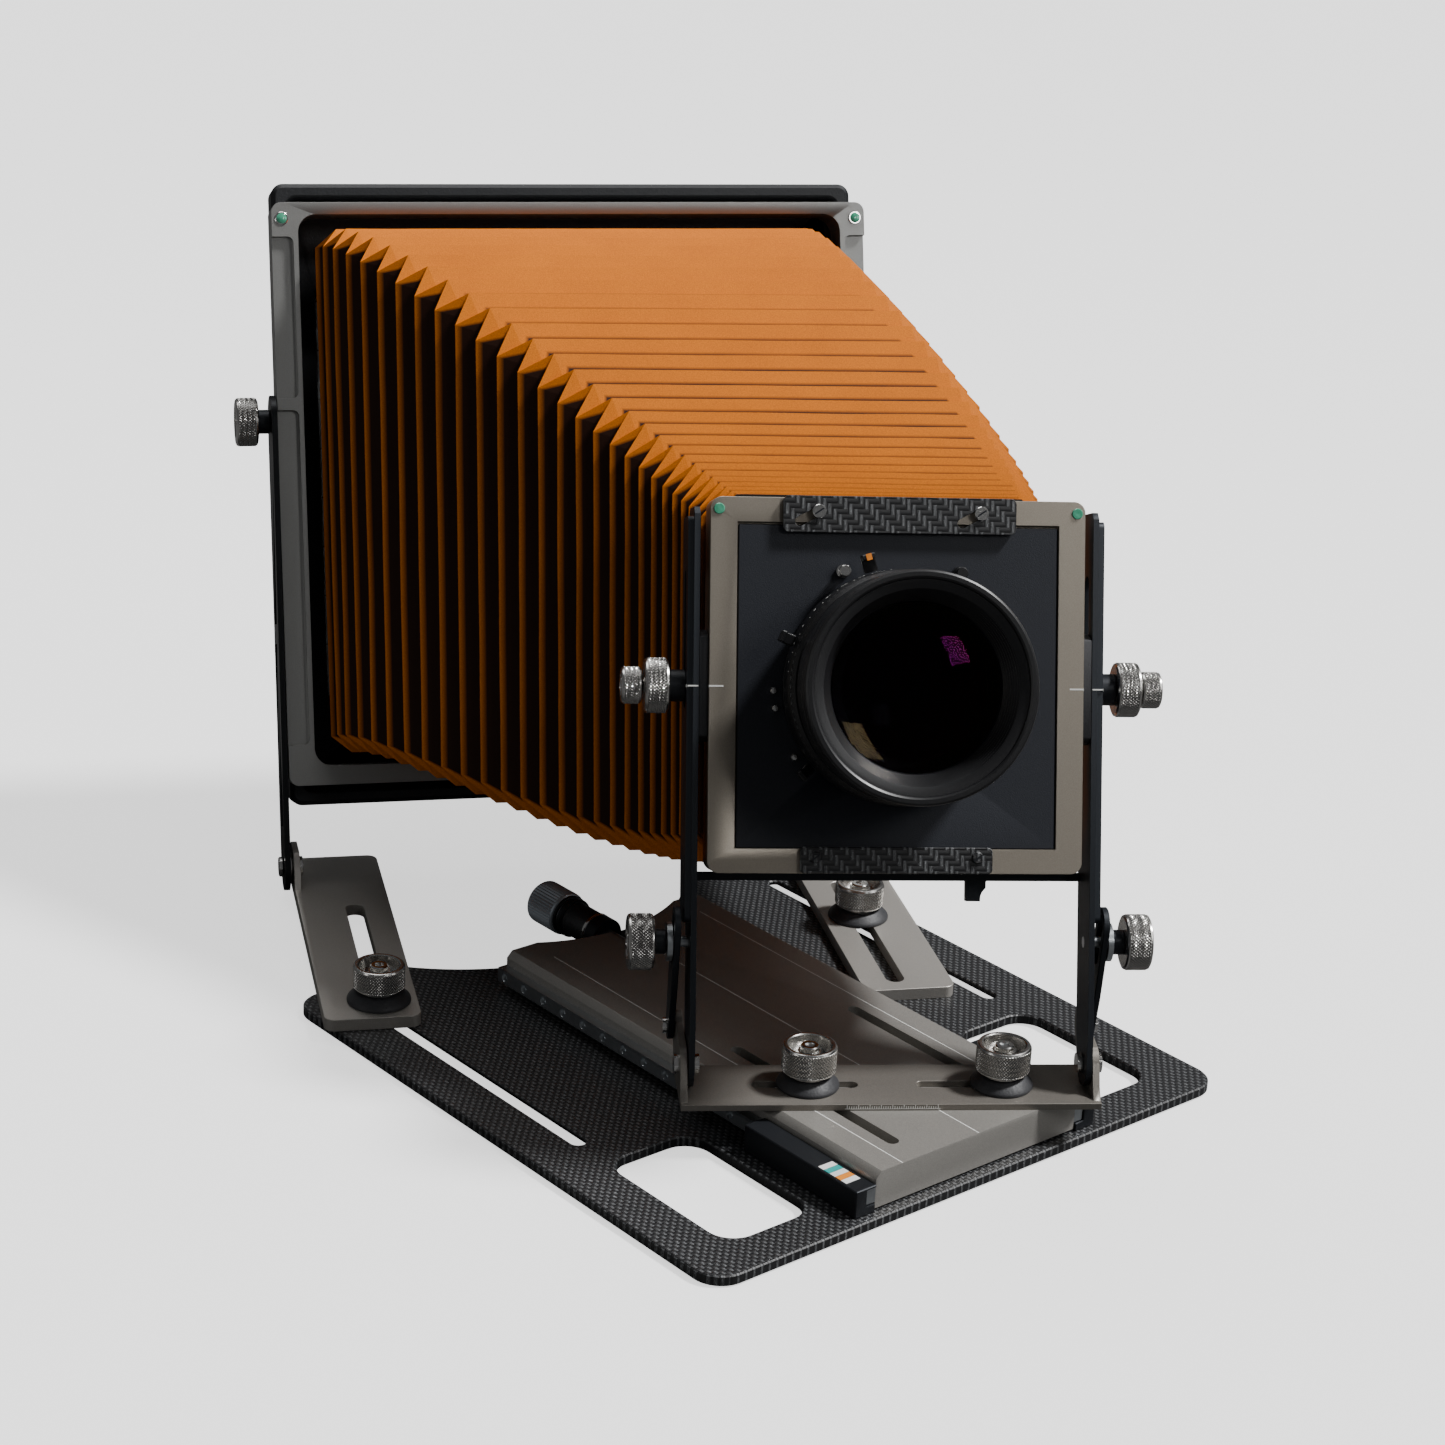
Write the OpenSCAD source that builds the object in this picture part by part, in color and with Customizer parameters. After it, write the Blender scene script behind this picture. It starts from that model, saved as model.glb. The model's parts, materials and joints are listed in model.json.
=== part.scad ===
// Large-format view camera on a flat base plate, with a geared bed, a tilting and
// swinging front standard, a tilting and swinging rear standard and a square bellows.
// X is to the right, Y to the rear, Z up. The origin is the tripod socket's mouth.

/* [Base] */
// Width of the base plate
base_w = 304; // [296:1:312]
// Length of the base plate
base_l = 309; // [305:1:316]
// Thickness of the base plate
base_t = 5; // [5:0.5:6]
// Radius of the base plate's corners
base_r = 14; // [8:1:20]
// Distance of each clamp slot from the middle
slot_x = 125; // [124:0.5:126]

/* [Bed] */
// Width of the sliding bed
bed_w = 120; // [118:1:120]
// Length of the sliding bed
bed_l = 259; // [255:1:262]
// Height of the sliding bed
bed_h = 17; // [16:0.5:18]
// Chamfer along the bed's top edges
bed_chamfer = 3; // [2:0.5:4]
// Distance of each bed slot from the middle
bed_slot_x = 35.5; // [35:0.5:36]

/* [Front standard] */
// Swing of the front standard at rest, in degrees
front_swing = -34.6; // [-36:0.2:-33]
// Backward tilt of the front posts at rest, in degrees
front_tilt = 21; // [19:0.5:22]
// Width over the ears of the front base
front_w = 185; // [184:1:188]
// Side of the square lens board
board_w = 140; // [138:1:140]
// Side of the lens frame
lens_frame_w = 164.3; // [163:0.1:165]
// Length of the front posts above their pivot
post_top = 242; // [238:1:250]

/* [Lens] */
// Diameter of the shutter
shutter_d = 102; // [98:1:104]
// Diameter of the front barrel
barrel_d = 99; // [94:1:100]
// Reach of the barrel in front of the post line
barrel_reach = 80; // [76:1:84]

/* [Rear standard] */
// Swing of the rear standard at rest, in degrees
rear_swing = -27.8; // [-28.5:0.1:-27]
// Backward tilt of the rear standard at rest, in degrees
rear_tilt = 19.9; // [18:0.1:21]
// Width of the rear frame
rear_w = 304; // [300:1:304]
// Height of the rear frame
rear_h = 290; // [286:1:292]
// Length of each clamp foot
foot_l = 184; // [180:1:188]
// Width of each clamp foot
foot_w = 45; // [42:1:46]

/* [Hidden] */
$fn = 64;
bed_gap = 1;
bed_z = base_t + bed_gap;
bed_top = bed_z + bed_h;
bed_front = -149;
bed_rear = bed_front + bed_l;
screw_z = base_t + 10;
screw_r = 4;
run_fit = 0.05;
rail_t = 5;
rail_h = 7;
rail_z = base_t + 7.8;

front_pos = [-6.5, -97.2, bed_top];
front_stud_x = [-35.2, 51];
pivot_z = 13.5;
plate_t = 3;
ear_t = 3.2;
ear_in = front_w / 2 - ear_t;
post_in = 86.3;
post_mid = 88.9;
post_out = 91.5;
post_d = 24;
strut_in = front_w / 2 + 0.4;
strut_t = 2.8;
strut_pin = [26, 19];
strut_stud_z = 53.2;
strut_lean = atan2(strut_stud_z * sin(front_tilt) - strut_pin.x,
    pivot_z + strut_stud_z * cos(front_tilt) - strut_pin.y);
strut_len = norm([strut_stud_z * sin(front_tilt) - strut_pin.x,
    pivot_z + strut_stud_z * cos(front_tilt) - strut_pin.y]);
axis_z = 164.6;
frame_front = -14.3;
frame_back = 6;
board_front = -13.8;
board_t = 3;
board_back = board_front + board_t;

rear_pos = [41.9, 172.8, base_t];
foot_t = 6;
foot_x = 106;
foot_slot_x = 124;
foot_stud_y = [-122.6, -57.9];
foot_front = -141;
foot_pivot = [20.2, 11.8];
arm_in = rear_w / 2 + 0.5;
arm_t = 2.8;
rear_axis = [8, 241];
rear_mid_z = 204;
back_y = 20;
back_t = 22;
back_w = 300;
back_h = 313;
glass_w = 290;
glass_h = 240;

// ---- places ----------------------------------------------------------------------
module on_bed() { translate(front_pos) rotate([0, 0, front_swing]) children(); }
module on_posts() { on_bed() translate([0, 0, pivot_z]) rotate([-front_tilt, 0, 0]) children(); }
module on_feet() { translate(rear_pos) rotate([0, 0, rear_swing]) children(); }
module on_rear() { on_feet() rotate([-rear_tilt, 0, 0]) children(); }
module both_mirror() { children(); mirror([1, 0, 0]) children(); }

// ---- shapes ----------------------------------------------------------------------
// rectangle centred on the origin with round corners
module round_rect(w, h, r) {
    square([w - 2 * r, h], center = true);
    square([w, h - 2 * r], center = true);
    for (x = [-1, 1], y = [-1, 1]) translate([x * (w / 2 - r), y * (h / 2 - r)]) circle(r);
}
// slot along Y from y0 to y1, with round ends, centred on x = 0
module slot_y(y0, y1, w) {
    translate([-w / 2, y0 + w / 2]) square([w, y1 - y0 - w]);
    for (y = [y0 + w / 2, y1 - w / 2]) translate([0, y]) circle(w / 2);
}
// plate drawn in Y and Z, as thick as t from x = x0 outwards
module side_plate(x0, t) {
    translate([x0, 0, 0]) rotate([90, 0, 90]) linear_extrude(t) children();
}
// cylinder along X from x0 to x1
module x_rod(x0, x1, r) { translate([x0, 0, 0]) rotate([0, 90, 0]) cylinder(x1 - x0, r = r); }
// upright plate in X and Z, from y0 towards the rear by t
module up_plate(y0, t) {
    translate([0, y0 + t, 0]) rotate([90, 0, 0]) linear_extrude(t) children();
}
// knurled knob with a hollow top round its clamp screw, standing along Z
module cup_knob(d, h, bore) {
    rotate_extrude() polygon([[bore, 0], [d / 2 - 3, 0], [d / 2 - 3, 1.5], [d / 2 - 0.6, 1.5],
        [d / 2, 2.1], [d / 2, h - 0.6], [d / 2 - 0.6, h], [d / 2 - 2.4, h], [d / 2 - 3.2, h - 6],
        [5, h - 6], [5, h - 3], [bore, h - 3]]);
}
// solid side knob along X with a stepped collar next to the part it clamps
module side_knob(x0, x1, d, bore) {
    translate([x0, 0, 0]) rotate([0, 90, 0]) rotate_extrude() polygon([[bore, 0],
        [d / 2 - 1, 0], [d / 2, 1], [d / 2, x1 - x0 - 1], [d / 2 - 1, x1 - x0],
        [bore, x1 - x0]]);
}
// dished leather-faced washer along Z
module dished_washer(d, bore, h) {
    rotate_extrude() polygon([[bore, 0], [d / 2, 0], [d / 2, 1.4], [d / 2 - 4, h],
        [bore, h]]);
}
// cap screw head with a shaft, along X, head outwards
module side_screw(x0, x1, r, head_r, head_h) {
    x_rod(x0, x1, r);
    x_rod(x1, x1 + head_h, head_r);
}

// ---- base ------------------------------------------------------------------------
rear_cut_r = 118.6;
rear_cut_y = base_l / 2 + 80.6;
module base_plate() {
    cutout = [48, 82];
    color([0.09, 0.09, 0.1]) difference() {
        linear_extrude(base_t) difference() {
            round_rect(base_w, base_l, base_r);
            translate([0, rear_cut_y]) circle(rear_cut_r, $fn = 128);
            for (side = [-1, 1]) {
                translate([side * slot_x, 0]) slot_y(-33, 130, 7);
                translate([side * 103.5, -92.5]) round_rect(cutout.x, cutout.y, 12);
            }
            circle(9);
        }
        for (side = [-1, 1]) translate([side * slot_x, 0, -1])
            linear_extrude(3.5) slot_y(-36, 139, 13);
        translate([0, 0, base_t - 1.5]) cylinder(2, r = 13);
    }
}
module tripod_bush() {
    color("silver") difference() {
        union() {
            cylinder(base_t, r = 9);
            translate([0, 0, base_t - 1.5]) cylinder(1.5, r = 13);
        }
        translate([0, 0, -1]) cylinder(base_t + 2, r = 4.76);
    }
}
module guide_blocks() {
    block_l = 72;
    block_w = 11.5;
    color([0.05, 0.05, 0.05]) both_mirror() difference() {
        translate([bed_w / 2 + 0.4, -150, base_t]) cube([block_w, block_l, 13]);
        translate([bed_w / 2, -151, rail_z - rail_h / 2 - 0.4])
            cube([rail_t + 0.5, block_l + 2, rail_h + 0.8]);
    }
}
module screw_bracket() {
    color([0.06, 0.06, 0.06]) difference() {
        union() {
            translate([-24, 109, base_t]) cube([48, 7, 7]);
            translate([0, 116, screw_z]) rotate([90, 0, 0]) cylinder(7, r = 9);
        }
        translate([0, 117, screw_z]) rotate([90, 0, 0]) cylinder(9, r = screw_r + run_fit);
    }
}

// ---- bed -------------------------------------------------------------------------
module sliding_bed() {
    half = bed_w / 2;
    arc_r = 85.7;
    color([0.36, 0.35, 0.33]) difference() {
        translate([0, bed_rear, bed_z]) rotate([90, 0, 0]) linear_extrude(bed_l)
            polygon([[-half, 0], [half, 0], [half, bed_h - bed_chamfer],
                [half - bed_chamfer, bed_h], [bed_chamfer - half, bed_h],
                [-half, bed_h - bed_chamfer]]);
        translate([0, bed_rear + arc_r - 11, bed_z - 1]) cylinder(bed_h + 2, r = arc_r, $fn = 128);
        for (side = [-1, 1]) translate([side * bed_slot_x, 0, bed_z - 1]) {
            linear_extrude(bed_h + 2) slot_y(-135, -27, 6);
            linear_extrude(9) slot_y(-138, -16, 12);
        }
        translate([0, bed_rear + 1, screw_z]) rotate([90, 0, 0]) cylinder(96, r = 5);
        translate([-6, 84, screw_z - 5]) cube([12, 30, 20]);
    }
}
module bed_rails() {
    pitch = 15;
    color("silver") both_mirror() difference() {
        translate([bed_w / 2, bed_front, rail_z - rail_h / 2])
            cube([rail_t, bed_l, rail_h]);
        for (y = [bed_rear - 5 : -pitch : bed_front + 4]) translate([0, y, rail_z]) {
            x_rod(bed_w / 2 - 1, bed_w / 2 + rail_t + 1, 1.4);
            x_rod(bed_w / 2 + 2.6, bed_w / 2 + rail_t + 1, 2.2);
        }
    }
}
module lead_nut() {
    color("goldenrod") difference() {
        translate([-6, 85, screw_z - 5]) cube([12, 8, 10]);
        translate([0, 94, screw_z]) rotate([90, 0, 0]) cylinder(10, r = screw_r + run_fit);
    }
}

// ---- fine focus drive ------------------------------------------------------------
module along_screw(y) { translate([0, y, screw_z]) rotate([-90, 0, 0]) children(); }
module lead_screw() {
    color([0.3, 0.3, 0.32]) {
        along_screw(22) cylinder(118, r = screw_r);
        along_screw(116.3) cylinder(2, r = 8.6);
        along_screw(118.3) cylinder(15.7, r = 8);
        along_screw(134) cylinder(1.6, r = 8.8);
        along_screw(135.6) cylinder(4.4, r = 9.4);
    }
}
module focus_knob() {
    ribs = 36;
    color([0.55, 0.6, 0.63]) difference() {
        along_screw(140) cylinder(20, r = 11);
        for (i = [0 : ribs - 1]) along_screw(142) rotate([0, 0, i * 360 / ribs])
            translate([11.1, 0, 0]) cylinder(19, r = 0.45, $fn = 16);
    }
}

// ---- front standard: base --------------------------------------------------------
module front_slide_bolt() {
    color([0.5, 0.5, 0.5]) on_bed() translate([front_stud_x[0], 0, 0]) {
        translate([0, 0, -bed_h + 2]) rotate([0, 0, -front_swing])
            linear_extrude(5) square([11, 16], center = true);
        translate([0, 0, -bed_h + 6]) cylinder(bed_h + 16, r = 2.5);
    }
}
module front_knob(x) {
    color("silver") on_bed() translate([x, 0, 9]) cup_knob(24.5, 14, 2.5 + run_fit);
}
module front_base_plate() {
    color([0.4, 0.38, 0.35]) on_bed() difference() {
        union() {
            translate([-front_w / 2, -18.5, 0]) cube([front_w, 37, plate_t]);
            both_mirror() side_plate(ear_in, ear_t) {
                polygon([[-18.5, 0], [18.5, 0], [32, 15.5], [20.5, 23.2], [-2, 22],
                    [-8, 16.5], [-12, 8]]);
                translate([0, pivot_z]) circle(8.5);
                translate(strut_pin) circle(7);
            }
        }
        translate([0, 0, -1]) linear_extrude(plate_t + 2) {
            rotate(90) slot_y(13, 60, 6);
            rotate(-90) slot_y(13, 60, 6);
        }
        translate([0, 0, pivot_z]) x_rod(-100, 100, 2.5);
        translate([0, strut_pin.x, strut_pin.y]) x_rod(-100, 100, 2);
    }
}
module front_washers() {
    color([0.06, 0.06, 0.07]) on_bed() for (x = front_stud_x)
        translate([x, 0, plate_t]) dished_washer(28, 2.5 + run_fit, 5.5);
}
module front_stud_right() {
    color([0.5, 0.5, 0.5]) on_bed() translate([front_stud_x[1], 0, 0.2])
        cylinder(21.8, r = 2.5);
}
module ear_screws() {
    color("silver") on_bed() both_mirror() {
        translate([0, 0, pivot_z]) {
            side_screw(post_in - 0.4, front_w / 2, 2.5, 4.4, 2.2);
            x_rod(post_in - 2.6, post_in - 0.4, 4.4);
        }
        translate([0, strut_pin.x, strut_pin.y]) side_screw(ear_in, strut_in + strut_t + 0.3,
            2, 3.6, 1.8);
    }
}
module tilt_struts() {
    top = strut_len + 9;
    color([0.05, 0.05, 0.06]) on_bed() both_mirror()
        translate([0, strut_pin.x, strut_pin.y]) rotate([-strut_lean, 0, 0])
        side_plate(strut_in, strut_t) difference() {
            union() {
                polygon([[-6, 0], [6, 0], [8, 20], [8, top], [-8, top], [-8, 20]]);
                circle(6);
                translate([0, top]) circle(8);
            }
            circle(2 + run_fit);
            slot_y(strut_len - 11, strut_len + 14, 8);
        }
}

// ---- front standard: posts -------------------------------------------------------
module front_posts() {
    color([0.08, 0.09, 0.11]) on_posts() both_mirror() difference() {
        union() {
            side_plate(post_in, post_mid - post_in) {
                circle(10);
                polygon([[-10, 0], [10, 0], [post_d / 2, 16], [post_d / 2, post_top - 3],
                    [post_d / 2 - 3, post_top], [3 - post_d / 2, post_top],
                    [-post_d / 2, post_top - 3], [-post_d / 2, 16]]);
            }
            side_plate(post_mid, post_out - post_mid) translate([0, (post_top - 4 + 62) / 2])
                round_rect(post_d - 2, post_top - 4 - 62, 3);
        }
        x_rod(80, 100, 2.5 + run_fit);
        translate([0, 0, strut_stud_z]) x_rod(80, 100, 2.5);
        side_plate(80, 20) slot_y(axis_z - 10, axis_z + 50, 8.3);
    }
}
module post_crossbar() {
    color([0.05, 0.05, 0.06]) on_posts() {
        translate([-post_in, 7.5, 79.5]) cube([2 * post_in, 4.5, 3.6]);
        up_plate(7.5, 4.5) difference() {
            translate([35, 70.5]) square([9, 9]);
            translate([47.5, 71.5]) circle(6);
        }
    }
}
module strut_studs() {
    color([0.5, 0.5, 0.5]) on_posts() translate([0, 0, strut_stud_z]) both_mirror() {
        x_rod(post_in, 112, 2.5);
        x_rod(strut_in + strut_t + 0.4, 98.4, 8.5);
    }
}
module strut_knob(side) {
    color("silver") on_posts() translate([0, 0, strut_stud_z]) mirror([side < 0 ? 1 : 0, 0, 0]) difference() {
        union() {
            x_rod(98.6, 104, 5.5);
            side_knob(104, 115.5, 25, 2.5 + run_fit);
        }
        x_rod(98, 113, 2.5 + run_fit);
    }
}

// ---- front standard: rise and axis tilt ------------------------------------------
module axis_shafts() {
    color([0.1, 0.1, 0.11]) on_posts() translate([0, 0, axis_z]) both_mirror() {
        x_rod(74, 98.3, 4);
        x_rod(post_out + 0.3, 98.3, 7);
        x_rod(98.3, 118, 2.5);
    }
}
module friction_discs() {
    color([0.05, 0.05, 0.05]) on_posts() both_mirror() intersection() {
        translate([0, 0, axis_z]) difference() {
            x_rod(lens_frame_w / 2 + 0.25, post_in - 0.2, 24.5);
            x_rod(80, 90, 4);
        }
        translate([80, -12, axis_z - 30]) cube([10, 24, 60]);
    }
}
module axis_knob(side) {
    color("silver") on_posts() translate([0, 0, axis_z]) mirror([side < 0 ? 1 : 0, 0, 0])
        side_knob(98.6, 109.4, 24.4, 2.5 + run_fit);
}
module rise_knob(side) {
    color("silver") on_posts() translate([0, 0, axis_z]) mirror([side < 0 ? 1 : 0, 0, 0])
        side_knob(110.2, 119.4, 16.5, 2.5 + run_fit);
}
module lens_frame() {
    color([0.6, 0.57, 0.52]) on_posts() translate([0, 0, axis_z + 0.5]) difference() {
        up_plate(frame_front, frame_back - frame_front)
            round_rect(lens_frame_w, lens_frame_w - 1.8, 5);
        up_plate(frame_front - 1, board_back - frame_front + 1) square(board_w + 1, center = true);
        up_plate(board_back - 1, 30) square(board_w - 14, center = true);
        translate([0, 0, -0.5]) {
            x_rod(73.8, 90, 4 + run_fit);
            x_rod(-90, -73.8, 4 + run_fit);
        }
    }
}
latch_z = axis_z + board_w / 2 + 5.8;
latch_x = 35.5;
latch_lean = 28;
latch_y = frame_front - 2.9;
module latch_screws() {
    color("silver") on_posts() for (x = [-latch_x, latch_x]) translate([x, 0, latch_z])
        rotate([90, 0, 0]) {
            translate([0, 0, -frame_front]) cylinder(3.2, r = 1.6);
            translate([0, 0, 3.2 - frame_front]) cylinder(1.4, r = 3);
        }
}
module board_latch() {
    color([0.1, 0.1, 0.1]) on_posts() up_plate(latch_y, 2.6) difference() {
        translate([0, latch_z - 1.2]) round_rect(102, 15.6, 2.5);
        for (x = [-latch_x, latch_x]) translate([x, latch_z]) rotate(latch_lean + 90)
            slot_y(-2.1, 11.5, 4.2);
    }
}
module bottom_clip() {
    clip_z = axis_z - board_w / 2 - 4.9;
    color([0.1, 0.1, 0.1]) on_posts() {
        up_plate(latch_y + 0.3, 2.6) translate([0, clip_z]) round_rect(84.4, 11.4, 2);
        for (x = [-latch_x, latch_x]) translate([x, latch_y + 0.3, clip_z + 1.3])
            rotate([90, 0, 0]) cylinder(1.2, r = 2.4);
    }
}
module level_vials() {
    color("limegreen") on_posts() for (x = [-78.5, 78.5])
        translate([x, frame_front, axis_z + 76.5]) rotate([90, 0, 0]) cylinder(0.8, r = 2.4);
}
module lens_board() {
    color([0.13, 0.15, 0.19]) on_posts() translate([0, 0, axis_z]) difference() {
        up_plate(board_front, board_t) square(board_w, center = true);
        rotate([90, 0, 0]) cylinder(40, r = 32.5, center = true);
    }
}

// ---- lens ------------------------------------------------------------------------
// a turned ring round the lens axis: profile points are [radius, distance in front]
module turned(profile) {
    on_posts() translate([0, 0, axis_z]) rotate([90, 0, 0]) rotate_extrude($fn = 96)
        polygon(profile);
}
shutter_front = 38;
module shutter_body() {
    r = shutter_d / 2;
    back = -board_front;
    color([0.07, 0.07, 0.08]) turned([[29, 7], [32.4, 7], [32.4, back], [r - 1, back],
        [r, back + 1], [r, shutter_front - 1], [r - 1, shutter_front], [30, shutter_front],
        [30, 30], [45, 30], [45, 22], [29, 22]]);
}
module speed_ring() {
    r = shutter_d / 2;
    color([0.1, 0.1, 0.11]) turned([[42, shutter_front + 0.3], [r - 1.5, shutter_front + 0.3],
        [r - 0.5, shutter_front + 1.3], [r - 1.5, shutter_front + 6], [42, shutter_front + 6]]);
}
module lens_barrel() {
    r = barrel_d / 2;
    front = barrel_reach;
    color([0.06, 0.06, 0.07]) turned([[30, shutter_front], [41.5, shutter_front],
        [41.5, front - 30], [r, front - 26], [r, front - 1], [r - 1, front], [r - 4, front],
        [r - 8, front - 3], [36, front - 17], [36, front - 24], [30, front - 24]]);
}
module front_glass() {
    color([0.1, 0.15, 0.25, 0.5]) turned([[0, barrel_reach - 23], [35.9, barrel_reach - 23],
        [35.9, barrel_reach - 18], [25, barrel_reach - 15], [12, barrel_reach - 13],
        [0, barrel_reach - 12.4]]);
}
module rear_cell() {
    color([0.06, 0.06, 0.07]) turned([[26, 6.8], [34.5, 6.8], [36, 5], [36, -26], [33, -29],
        [29, -29], [29, -20], [26, -20]]);
}
module rear_glass() {
    color([0.1, 0.15, 0.25, 0.5]) turned([[0, -21], [28.9, -21], [28.9, -23], [14, -26],
        [0, -27.4]]);
}
module iris_blades() {
    blades = 7;
    step = 360 / blades;
    color([0.02, 0.02, 0.02]) on_posts() translate([0, 0, axis_z]) rotate([90, 0, 0])
        for (i = [0 : blades - 1]) rotate([0, 0, i * step]) translate([0, 0, 25.6])
            linear_extrude(0.8) polygon([[14, 0.4], [44, 0.4],
                [44 * cos(step / 2), 44 * sin(step / 2)], [43.8 * cos(step - 1), 43.8 * sin(step - 1)],
                [14 * cos(step - 1), 14 * sin(step - 1)]]);
}
// lever tab that stands out of the shutter's rim at an angle, thick along the axis
module rim_lever(angle, front, w, reach, t) {
    on_posts() translate([0, 0, axis_z]) rotate([90, 0, 0]) rotate([0, 0, angle])
        translate([0, 0, front]) {
            translate([shutter_d / 2 + 0.4, -w / 2, 0]) cube([reach, w, t]);
            translate([shutter_d / 2 + reach - 1, -w / 2, 0]) cube([2.4, w, t + 4]);
        }
}
module aperture_lever() { color([0.1, 0.1, 0.1]) rim_lever(222, 20, 5, 6, 2.4); }
module cocking_lever() { color([0.1, 0.1, 0.1]) rim_lever(106, 27, 6, 7, 2.6); }
module release_lever() { color([0.1, 0.1, 0.1]) rim_lever(158, 31, 5, 6, 2.6); }

// ---- rear standard: feet ---------------------------------------------------------
module rear_slide_bolt() {
    color([0.5, 0.5, 0.5]) on_feet() translate([-foot_slot_x, foot_stud_y[0], -base_t]) {
        translate([0, 0, 0.2]) rotate([0, 0, -rear_swing]) linear_extrude(2)
            square([12, 16], center = true);
        translate([0, 0, 1]) cylinder(base_t + 21, r = 3);
    }
}
module foot_knob(side) {
    color("silver") on_feet() translate([side * foot_slot_x, foot_stud_y[(side + 1) / 2],
        foot_t + 5.6]) cup_knob(24.5, 13, 3 + run_fit);
}
module rear_feet() {
    color([0.45, 0.43, 0.4]) on_feet() both_mirror() difference() {
        union() {
            translate([foot_x + foot_w / 2, foot_front + foot_l / 2, 0])
                linear_extrude(foot_t) round_rect(foot_w, foot_l, 5);
            side_plate(foot_x + foot_w - 3.2, 3.2) {
                polygon([[2, 0], [40, 0], [36, 14], [28, 22], [14, 22], [6, 14]]);
            }
        }
        translate([foot_slot_x - 0.2, 0, -1]) linear_extrude(foot_t + 2)
            slot_y(-133, -16, 9);
        translate([0, foot_pivot.x, foot_pivot.y]) x_rod(140, 160, 3);
    }
}
module foot_washers() {
    color([0.06, 0.06, 0.07]) on_feet() for (i = [0, 1])
        translate([(2 * i - 1) * foot_slot_x, foot_stud_y[i], foot_t])
            dished_washer(30, 3 + run_fit, 5.3);
}
module foot_stud_right() {
    color([0.5, 0.5, 0.5]) on_feet() translate([foot_slot_x, foot_stud_y[1], 0.2])
        cylinder(21, r = 3);
}
module foot_bolts() {
    color("silver") on_feet() translate([0, foot_pivot.x, foot_pivot.y]) both_mirror() {
        side_screw(foot_x + foot_w - 3.2, arm_in + arm_t + 0.3, 3, 5, 2);
        x_rod(foot_x + foot_w - 5.4, foot_x + foot_w - 3.2, 5);
        difference() {
            x_rod(foot_x + foot_w, arm_in - 0.2, 6);
            x_rod(foot_x + foot_w - 1, arm_in, 3);
        }
    }
}

// ---- rear standard: arms and frame -----------------------------------------------
foot_pivot_up = [foot_pivot.x * cos(rear_tilt) - foot_pivot.y * sin(rear_tilt),
    foot_pivot.x * sin(rear_tilt) + foot_pivot.y * cos(rear_tilt)];
module rear_arms() {
    low = foot_pivot_up;
    high = rear_axis;
    color([0.08, 0.08, 0.09]) on_rear() both_mirror() side_plate(arm_in, arm_t) difference() {
        union() {
            translate(low) circle(12);
            translate(high) circle(13);
            polygon([[low.x - 12, low.y], [low.x + 12, low.y], [high.x + 13, high.y],
                [high.x - 13, high.y]]);
        }
        translate(low) circle(3 + run_fit);
        translate(high) circle(4 + run_fit);
        polygon([[low.x - 7, low.y + 20], [low.x + 5, low.y + 20], [low.x - 7, low.y + 95]]);
        polygon([[low.x + 7, low.y + 32], [low.x + 7.5, low.y + 112], [low.x - 5.5, low.y + 112]]);
        polygon([[low.x - 8.5, low.y + 122], [low.x + 4, low.y + 122], [high.x - 8, high.y - 20]]);
    }
}
module rear_axis_knob(side) {
    color([0.3, 0.3, 0.3]) on_rear() translate([0, rear_axis.x, rear_axis.y])
        mirror([side < 0 ? 1 : 0, 0, 0]) union() {
            x_rod(arm_in + arm_t + 0.2, 162, 6);
            side_knob(161.5, 172.5, 24.4, 0.01);
        }
}
module rear_frame() {
    window = [278, 274.5];
    window_z = 205.8;
    color([0.42, 0.42, 0.41]) on_rear() difference() {
        union() {
            up_plate(0, back_y) translate([0, rear_mid_z]) round_rect(rear_w, rear_h, 5);
            translate([0, rear_axis.x, rear_axis.y]) both_mirror() x_rod(150, arm_in + arm_t, 4);
        }
        up_plate(-1, back_y + 2) translate([0, window_z]) round_rect(window.x, window.y, 9);
        both_mirror() {
            up_plate(-1, 4) translate([rear_w / 2 - 3, (79.5 + 246) / 2])
                round_rect(15, 246 - 79.5, 3);
            up_plate(-1, 4) translate([rear_w / 2 - 3, (252 + 332) / 2])
                round_rect(15, 332 - 252, 3);
        }
    }
}
module back_frame() {
    wall = 8;
    gate_t = 6;
    color([0.07, 0.07, 0.08]) on_rear() difference() {
        up_plate(back_y, back_t) translate([0, rear_mid_z + 0.5]) round_rect(back_w, back_h, 6);
        up_plate(back_y - 1, back_t - gate_t + 1) translate([0, rear_mid_z + 0.5])
            round_rect(back_w - 2 * wall, back_h - 2 * wall, 4);
        up_plate(back_y - 1, back_t + 2) translate([0, rear_mid_z]) square([256, 206],
            center = true);
    }
}
module glass_frame() {
    color([0.12, 0.12, 0.12]) on_rear() difference() {
        up_plate(back_y + back_t + 0.3, 10) translate([0, rear_mid_z])
            round_rect(glass_w, glass_h, 5);
        up_plate(back_y + back_t - 1, 14) translate([0, rear_mid_z]) square([252, 202],
            center = true);
        up_plate(back_y + back_t - 1, 5.3) translate([0, rear_mid_z]) square([262, 212],
            center = true);
    }
}
module ground_glass() {
    color([0.8, 0.85, 0.85, 0.6]) on_rear() up_plate(back_y + back_t + 1.3, 3)
        translate([0, rear_mid_z]) square([261, 211], center = true);
}
module back_springs() {
    y = back_y + back_t + 10.3;
    color("silver") on_rear() for (side = [-1, 1]) translate([side * 135, 0, 0])
        up_plate(y, 1.2) translate([0, rear_mid_z]) round_rect(12, 200, 5);
}

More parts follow.
